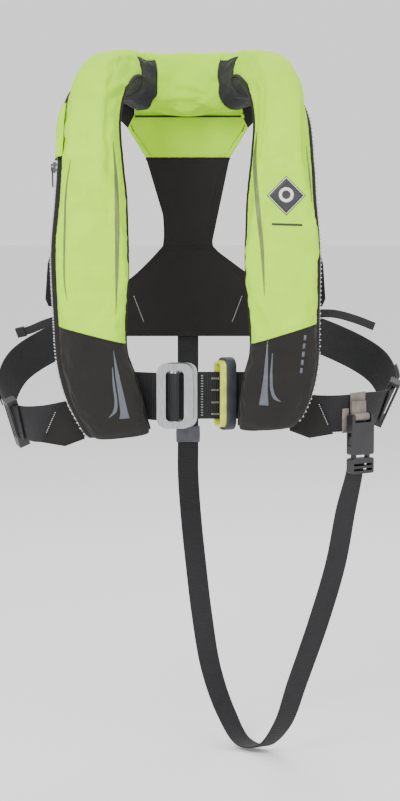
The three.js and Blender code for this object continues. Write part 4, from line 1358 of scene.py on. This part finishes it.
def make_yoke():
    """The yoke's panels, with bound edges, and piping where they join each other and the collar."""
    front = YOKE_Y - YOKE_THICKNESS / 2
    faces_at = (front, YOKE_Y + YOKE_THICKNESS / 2)
    flat_panel("yoke_top", "yoke_upper_panel", mirrored(YOKE_UPPER), faces_at, LIME,
               wave=0.0016)
    for name, node, half, seed, wave in (
        ("yoke_waist", "yoke_waist_panel", rounded(YOKE_WAIST), 2, 0.0034),
        ("yoke_base", "yoke_lower_panel", rounded(YOKE_LOWER), 3, 0.0026),
    ):
        flat_panel(name, node, mirrored(half), faces_at, BLACK, wave, seed)
        for side, data in SIDES.items():
            run = [Vector((data["sign"] * x, front + 0.0010, z)) for x, z in half]
            piping = tube(f"{name}_binding_{side}", run, 0.0012, BLACK)
            finish_piece(piping)
    for name, z, half_width, lift, radius in (
        ("yoke_joint_top", -0.0552, 0.0535, 0.0011, 0.0011),
        ("yoke_joint_base", -0.1682, 0.0315, 0.0011, 0.0011),
        ("collar_seam_piping", -0.0022, 0.068, -0.0004, 0.0013),
    ):
        run = straight((-half_width, front + lift, z), (half_width, front + lift, z), 20)
        finish_piece(tube(name, run, radius, BLACK))
    for side, data in SIDES.items():
        outline = [(data["sign"] * x, z) for x, z in YOKE_CORNER]
        flat_panel(f"{side}_yoke_corner", f"yoke_corner_{side}", outline, faces_at, BLACK,
                   seed=5)


def stitch_yoke():
    """The stitches on the yoke's front."""
    front = YOKE_Y - YOKE_THICKNESS / 2
    y = front + 0.0002
    black = ([], [])
    lime = ([], [])
    grey = ([], [])
    for z, half_width, store in (
        (-0.0585, 0.050, black),
        (-0.0515, 0.053, lime),
        (-0.1715, 0.029, black),
        (-0.1655, 0.029, black),
    ):
        front_stitches(store, straight((-half_width, y, z), (half_width, y, z), 20))
    for way in (1, -1):
        edge = straight((way * 0.0705, y, -0.019), (way * 0.0480, y, -0.052), 10)
        front_stitches(black, edge)
        mark = straight((way * 0.0702, front, -0.2325), (way * 0.0573, front, -0.2665), 10)
        front_stitches(grey, mark, pitch=0.0024, radius=0.0006, lift=0.0003)
        tack = []
        for i in range(9):
            x = 0.0725 - 0.0004 * i + 0.0012 * (i % 2)
            tack.append(Vector((way * x, front, -0.013 - 0.0011 * i)))
        front_stitches(black, tack, pitch=0.0016, radius=0.0005, lift=0.0004)
    arch = []
    for angle in steps_between(0, math.pi, 20):
        arch.append(Vector((0.0156 * math.cos(angle), y, -0.2775 + 0.0035 * math.sin(angle))))
    front_stitches(black, arch)
    hem_stitches(black, mirrored(rounded(YOKE_LOWER)), y)
    finish_stitches("yoke_black_stitching", black, THREAD_BLACK)
    finish_stitches("yoke_lime_stitching", lime, THREAD_LIME)
    finish_stitches("yoke_grey_stitching", grey, THREAD_GREY)


def make_collar_webs():
    """Cloth that joins the yoke's top edge to the collar above it."""
    tree = cover_tree(*PANELS)
    edge = [(0.0, 0.0030), *YOKE_UPPER[:3], *YOKE_CORNER[1:2]]
    for name, low, high, material, slot in (
        ("collar_web", -0.068, 0.068, LIME, "lime_cover"),
        ("left_corner_web", 0.068, 0.0875, BLACK, "black_cover"),
        ("right_corner_web", -0.0875, -0.068, BLACK, "black_cover"),
    ):
        grid = []
        for x in steps_between(low, high, 24):
            top = np.interp(abs(x), [p[0] for p in edge], [p[1] for p in edge])
            start = Vector((x, YOKE_Y, top - 0.0020))
            found = tree.find_nearest(start)[0]
            end = found + (found - start).normalized() * 0.0008
            grid.append(straight(start, end, 4))
        web = grid_object(name, grid, material)
        shell(web, 0.0012)
        finish_piece(web)


def make_gussets():
    """The gussets below the lobes' outer corners, and the flaps beside the lobes."""
    grey = ([], [])
    black = ([], [])
    gusset = [(0.120, -0.350), (0.156, -0.350), (0.177, -0.397), (0.148, -0.402), (0.124, -0.393)]
    flap = [
        (0.118, -0.152), (0.154, -0.150), (0.164, -0.186), (0.167, -0.228), (0.163, -0.237),
        (0.118, -0.234),
    ]
    for side, data in SIDES.items():
        sign = data["sign"]
        rise = data["rise"]
        low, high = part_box(f"gusset_{side}")
        outline = [(sign * x, z + rise) for x, z in gusset]
        flat_panel(f"{side}_gusset", f"gusset_{side}", outline, (low[1], high[1]), BLACK,
                   0.0009, 7)
        y = low[1] - 0.0001
        mark = straight((sign * 0.159, y, rise - 0.360), (sign * 0.1705, y, rise - 0.386), 8)
        front_stitches(grey, mark, pitch=0.0024, radius=0.0006, lift=0.0003)
        hem_stitches(black, outline, low[1] + 0.0001, 0.003)
        low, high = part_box(f"side_flap_{side}")
        wider = 0.004 if side == "right" else 0.0
        outline = [(sign * (x + (wider if x > 0.12 else 0.0)), z) for x, z in flap]
        flat_panel(f"{side}_side_flap", f"side_flap_{side}", outline, (low[1], high[1]), BLACK,
                   0.0006, 9)
        hem_stitches(black, outline, low[1] + 0.0001, 0.0025)
    finish_stitches("gusset_grey_stitching", grey, THREAD_GREY)
    finish_stitches("gusset_black_stitching", black, THREAD_BLACK)


# ---- Prints on the covers ----
def cover_tree(*nodes):
    """A search tree over cover panels, to lay prints on them."""
    points = []
    faces = []
    for node in nodes:
        mesh = PANELS[node].data
        first = len(points)
        points += [v.co.copy() for v in mesh.vertices]
        faces += [tuple(first + i for i in p.vertices) for p in mesh.polygons]
    return BVHTree.FromPolygons(points, faces)


def on_cover(tree, x, z, lift):
    """The point of a cover straight behind (x, z), lifted off it, or None beside it."""
    hit, normal, _, _ = tree.ray_cast(Vector((x, -0.4, z)), Vector((0, 1, 0)))
    if hit is None:
        return None
    if normal.y > 0:
        normal = -normal
    return hit + normal * lift


def finish_print(name, grid, material, thickness):
    made = grid_object(name, grid, material)
    if made.data.polygons[len(made.data.polygons) // 2].normal.y > 0:
        made.data.flip_normals()
    shell(made, thickness)
    finish_piece(made)


def printed_strip(name, tree, centre, widths, material, steps=130):
    """A print that follows centre, a list of (x, z), with the given widths, laid on the cover."""
    line = Line([(x, 0, z) for x, z in centre])
    grid = []
    for mark in steps_between(0, line.last, steps):
        point = line.point(mark)
        along = line.tangent(mark)
        across = Vector((along.z, 0, -along.x))
        width = np.interp(mark, range(len(widths)), widths)
        places = [point + across * width * share for share in steps_between(-0.5, 0.5, 6)]
        row = [on_cover(tree, place.x, place.z, 0.00045) for place in places]
        if None not in row:
            grid.append(row)
    finish_print(name, grid, material, 0.0002)


def printed_shape(name, tree, outline, material, lift):
    """A four-cornered print laid on the cover, as a grid between its corners (x, z)."""
    a, b, c, d = (Vector(p) for p in outline)
    grid = []
    for down in steps_between(0, 1, 10):
        places = [a.lerp(b, share).lerp(d.lerp(c, share), down) for share in steps_between(0, 1, 10)]
        grid.append([on_cover(tree, place.x, place.y, lift) for place in places])
    finish_print(name, grid, material, 0.00015)


# Printed strips: the side, the centre line as (x, z), and the width at each of its points
LIME_STRIPS = {
    "right_inner_strip": (
        "right",
        [(-0.0875, -0.040), (-0.0838, -0.085), (-0.0822, -0.134), (-0.0826, -0.190), (-0.0838, -0.244)],
        [0.0004, 0.0036, 0.0052, 0.0040, 0.0004],
    ),
    "right_outer_strip": (
        "right",
        [(-0.1369, -0.062), (-0.1420, -0.098), (-0.1436, -0.135), (-0.1445, -0.205), (-0.1414, -0.228)],
        [0.0004, 0.0018, 0.0024, 0.0016, 0.0004],
    ),
    "left_inner_strip": (
        "left",
        [(0.0837, -0.0285), (0.0810, -0.063), (0.0835, -0.115), (0.0889, -0.167), (0.0918, -0.222)],
        [0.0004, 0.0034, 0.0050, 0.0042, 0.0004],
    ),
    "left_outer_strip": (
        "left",
        [(0.1413, -0.045), (0.1455, -0.080), (0.1480, -0.112)],
        [0.0004, 0.0018, 0.0004],
    ),
}
SLASHES = {
    "right_tall_slash": (
        "right",
        [(-0.0867, -0.2864), (-0.0823, -0.3173), (-0.0778, -0.3423), (-0.0748, -0.3600), (-0.0742, -0.3680)],
        [0.0004, 0.0050, 0.0070, 0.0090, 0.0125],
    ),
    "right_short_slash": (
        "right",
        [(-0.0882, -0.3066), (-0.0866, -0.3281), (-0.0842, -0.3483), (-0.0856, -0.3590), (-0.0932, -0.3673)],
        [0.0010, 0.0030, 0.0036, 0.0044, 0.0006],
    ),
    "left_tall_slash": (
        "left",
        [(0.0956, -0.2722), (0.0944, -0.2960), (0.0934, -0.3180), (0.0921, -0.3364), (0.0914, -0.3519)],
        [0.0004, 0.0034, 0.0054, 0.0080, 0.0116],
    ),
    "left_short_slash": (
        "left",
        [(0.1012, -0.2892), (0.1000, -0.3180), (0.1010, -0.3340), (0.1046, -0.3430), (0.1115, -0.3477)],
        [0.0010, 0.0032, 0.0038, 0.0042, 0.0006],
    ),
}


def make_prints():
    """The reflective strips and slashes, and the dashes that stand for printed words."""
    trees = {side: cover_tree(f"cover_{side}", f"lower_cover_{side}") for side in SIDES}
    for strips, material, slot in (
        (LIME_STRIPS, REFLECTIVE_OLIVE, "lime_cover"),
        (SLASHES, REFLECTIVE, "black_cover"),
    ):
        for name, (side, centre, widths) in strips.items():
            printed_strip(name, trees[side], centre, widths, material)
    for i in range(5):
        x = 0.1400 - 0.0010 * i
        top = -0.268 - 0.0098 * i
        printed_strip(f"side_dash_{i}", trees["left"], [(x, top), (x - 0.0008, top - 0.0062)],
                      [0.0030, 0.0030], REFLECTIVE, steps=4)
    make_badge(trees["left"], 0.1172, -0.104)


def make_badge(tree, x, z):
    """A generic badge: a diamond with a plain ring in it, and two plain bars."""
    for name, size, material, lift in (
        ("badge_edge", 0.0228, PRINT_DARK, 0.0003),
        ("badge_border", 0.0216, PRINT_WHITE, 0.00042),
        ("badge_field", 0.0204, PRINT_DARK, 0.00054),
    ):
        corners = [(x - size, z), (x, z - size * 1.02), (x + size, z), (x, z + size * 1.02)]
        printed_shape(name, tree, corners, material, lift)
    ring = []
    for radius in (0.0052, 0.0088):
        line = []
        for angle in steps_between(0, 2 * math.pi, 40):
            across = x + radius * math.cos(angle)
            line.append(on_cover(tree, across, z + 0.001 + radius * math.sin(angle), 0.0007))
        ring.append(line)
    finish_print("badge_ring", ring, PRINT_WHITE, 0.0001)
    for name, ends, width, material, steps in (
        ("badge_bar", [(x - 0.0075, z - 0.0108), (x + 0.0075, z - 0.0108)], 0.0022, PRINT_CORAL, 8),
        ("name_bar", [(x - 0.017, z - 0.0335), (x + 0.019, z - 0.0345)], 0.0026, PRINT_DARK, 12),
    ):
        printed_strip(name, tree, ends, [width, width], material, steps)


# ---- Front belts, soft loop and buckle tabs: the CAD shapes, smoothed and sewn ----
def smoothed_copy(name, node, material, bevel=0.0007, body=ROOT):
    """A finer copy of a sewn webbing piece, with rounded edges."""
    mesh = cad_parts[node].data.copy()
    made = bpy.data.objects.new(name, mesh)
    bpy.context.scene.collection.objects.link(made)
    work = bmesh.new()
    work.from_mesh(mesh)
    bmesh.ops.remove_doubles(work, verts=work.verts[:], dist=1e-6)
    bmesh.ops.dissolve_limit(
        work, angle_limit=math.radians(1), verts=work.verts[:], edges=work.edges[:]
    )
    work.to_mesh(mesh)
    work.free()
    mesh.materials.clear()
    mesh.materials.append(material)
    modifier = made.modifiers.new("edges", "BEVEL")
    modifier.width = bevel
    modifier.segments = 3
    modifier.limit_method = "ANGLE"
    modifier.angle_limit = math.radians(40)
    apply_modifiers(made)
    made.data.shade_smooth()
    made.data.set_sharp_from_angle(angle=math.radians(38))
    box_weave(made)
    finish_piece(made, body=body, replaces=[node])


def box_weave(made):
    """Cloth coordinates in metres by each face's main direction."""
    mesh = made.data
    for layer in list(mesh.uv_layers):
        mesh.uv_layers.remove(layer)
    layer = mesh.uv_layers.new(name="Weave")
    for polygon in mesh.polygons:
        normal = [abs(n) for n in polygon.normal]
        drop = normal.index(max(normal))
        keep = [i for i in range(3) if i != drop]
        for loop in polygon.loop_indices:
            place = mesh.vertices[mesh.loops[loop].vertex_index].co
            layer.data[loop].uv = (place[keep[0]], place[keep[1]])


def make_front_belts():
    """Webbing sewn round the frames' bars, with crosswise ribs and the load stitching."""
    for side in ("left", "right"):
        smoothed_copy(f"{side}_front_webbing", f"front_belt_{side}", FRONT_WEBBING)
    white = ([], [])
    low = FRONT_BELT_Z - FRONT_BELT_WIDTH / 2
    high = FRONT_BELT_Z + FRONT_BELT_WIDTH / 2
    y = -0.1016 - FACE
    for x in (0.0172, 0.0188):
        run = [Vector((x, y, low + 0.003 + (high - low - 0.006) * i / 12)) for i in range(13)]
        front_stitches(white, run, pitch=0.003, radius=0.00045, lift=0.0003)
    for z in (-0.323, -0.337, -0.352, -0.366):
        for drop in (0, 0.0011):
            run = [Vector((0.029 + 0.0012 * i, y, z - drop)) for i in range(9)]
            front_stitches(white, run, pitch=0.0024, radius=0.0004, lift=0.0003)
    finish_stitches("front_belt_stitching", white, THREAD_GREY)


def make_soft_loop():
    smoothed_copy("loop_cover", "soft_loop_cover", CHARCOAL, 0.0012, "soft_loop")
    smoothed_copy("loop_lining", "soft_loop_lining", LIME_WEBBING, 0.0012, "soft_loop")


def make_tabs():
    for part in ("loop", "patch", "end"):
        smoothed_copy(f"tab_{part}", f"buckle_tab_{part}", TAUPE, 0.0005, ROOT)


def finish_hard_parts():
    """Fine rounded edges and better materials on the carried-over hard parts."""
    for node, material, width in (
        ("front_frame", STEEL, 0.0013),
        ("rear_frame", STEEL, 0.0013),
        ("hip_adjuster_left", PLASTIC, 0.0011),
        ("hip_adjuster_right", PLASTIC, 0.0011),
        ("buckle_socket", PLASTIC, 0.0009),
        ("buckle_plug", PLASTIC, 0.0009),
        ("buckle_prong_left", PLASTIC, 0.0006),
        ("buckle_prong_right", PLASTIC, 0.0006),
        ("zip_slider", PLASTIC, 0.0005),
        ("zip_pull", PLASTIC, 0.0004),
        ("gas_cylinder", CYLINDER, 0.0004),
        ("inflator_body", PLASTIC, 0.0008),
        ("inflator_cap", ORANGE, 0.0006),
        ("inflator_lever", RED, 0.0005),
        ("oral_tube", PLASTIC, 0.0004),
        ("oral_valve_cap", RED, 0.0004),
        ("whistle", ORANGE, 0.0004),
    ):
        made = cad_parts[node]
        made.data.materials.clear()
        made.data.materials.append(material)
        modifier = made.modifiers.new("edges", "BEVEL")
        modifier.width = width
        modifier.segments = 3
        modifier.limit_method = "ANGLE"
        modifier.angle_limit = math.radians(35)
        made.modifiers.new("shading", "WEIGHTED_NORMAL")


make_camera()
make_studio()
make_crotch_strap()
make_stole()
make_seams()
make_ends()
make_bladder()
make_zip()
make_teeth()
make_zip_garage()
make_belts()
make_yoke()
stitch_yoke()
make_collar_webs()
make_gussets()
make_prints()
make_front_belts()
make_soft_loop()
make_tabs()
finish_hard_parts()
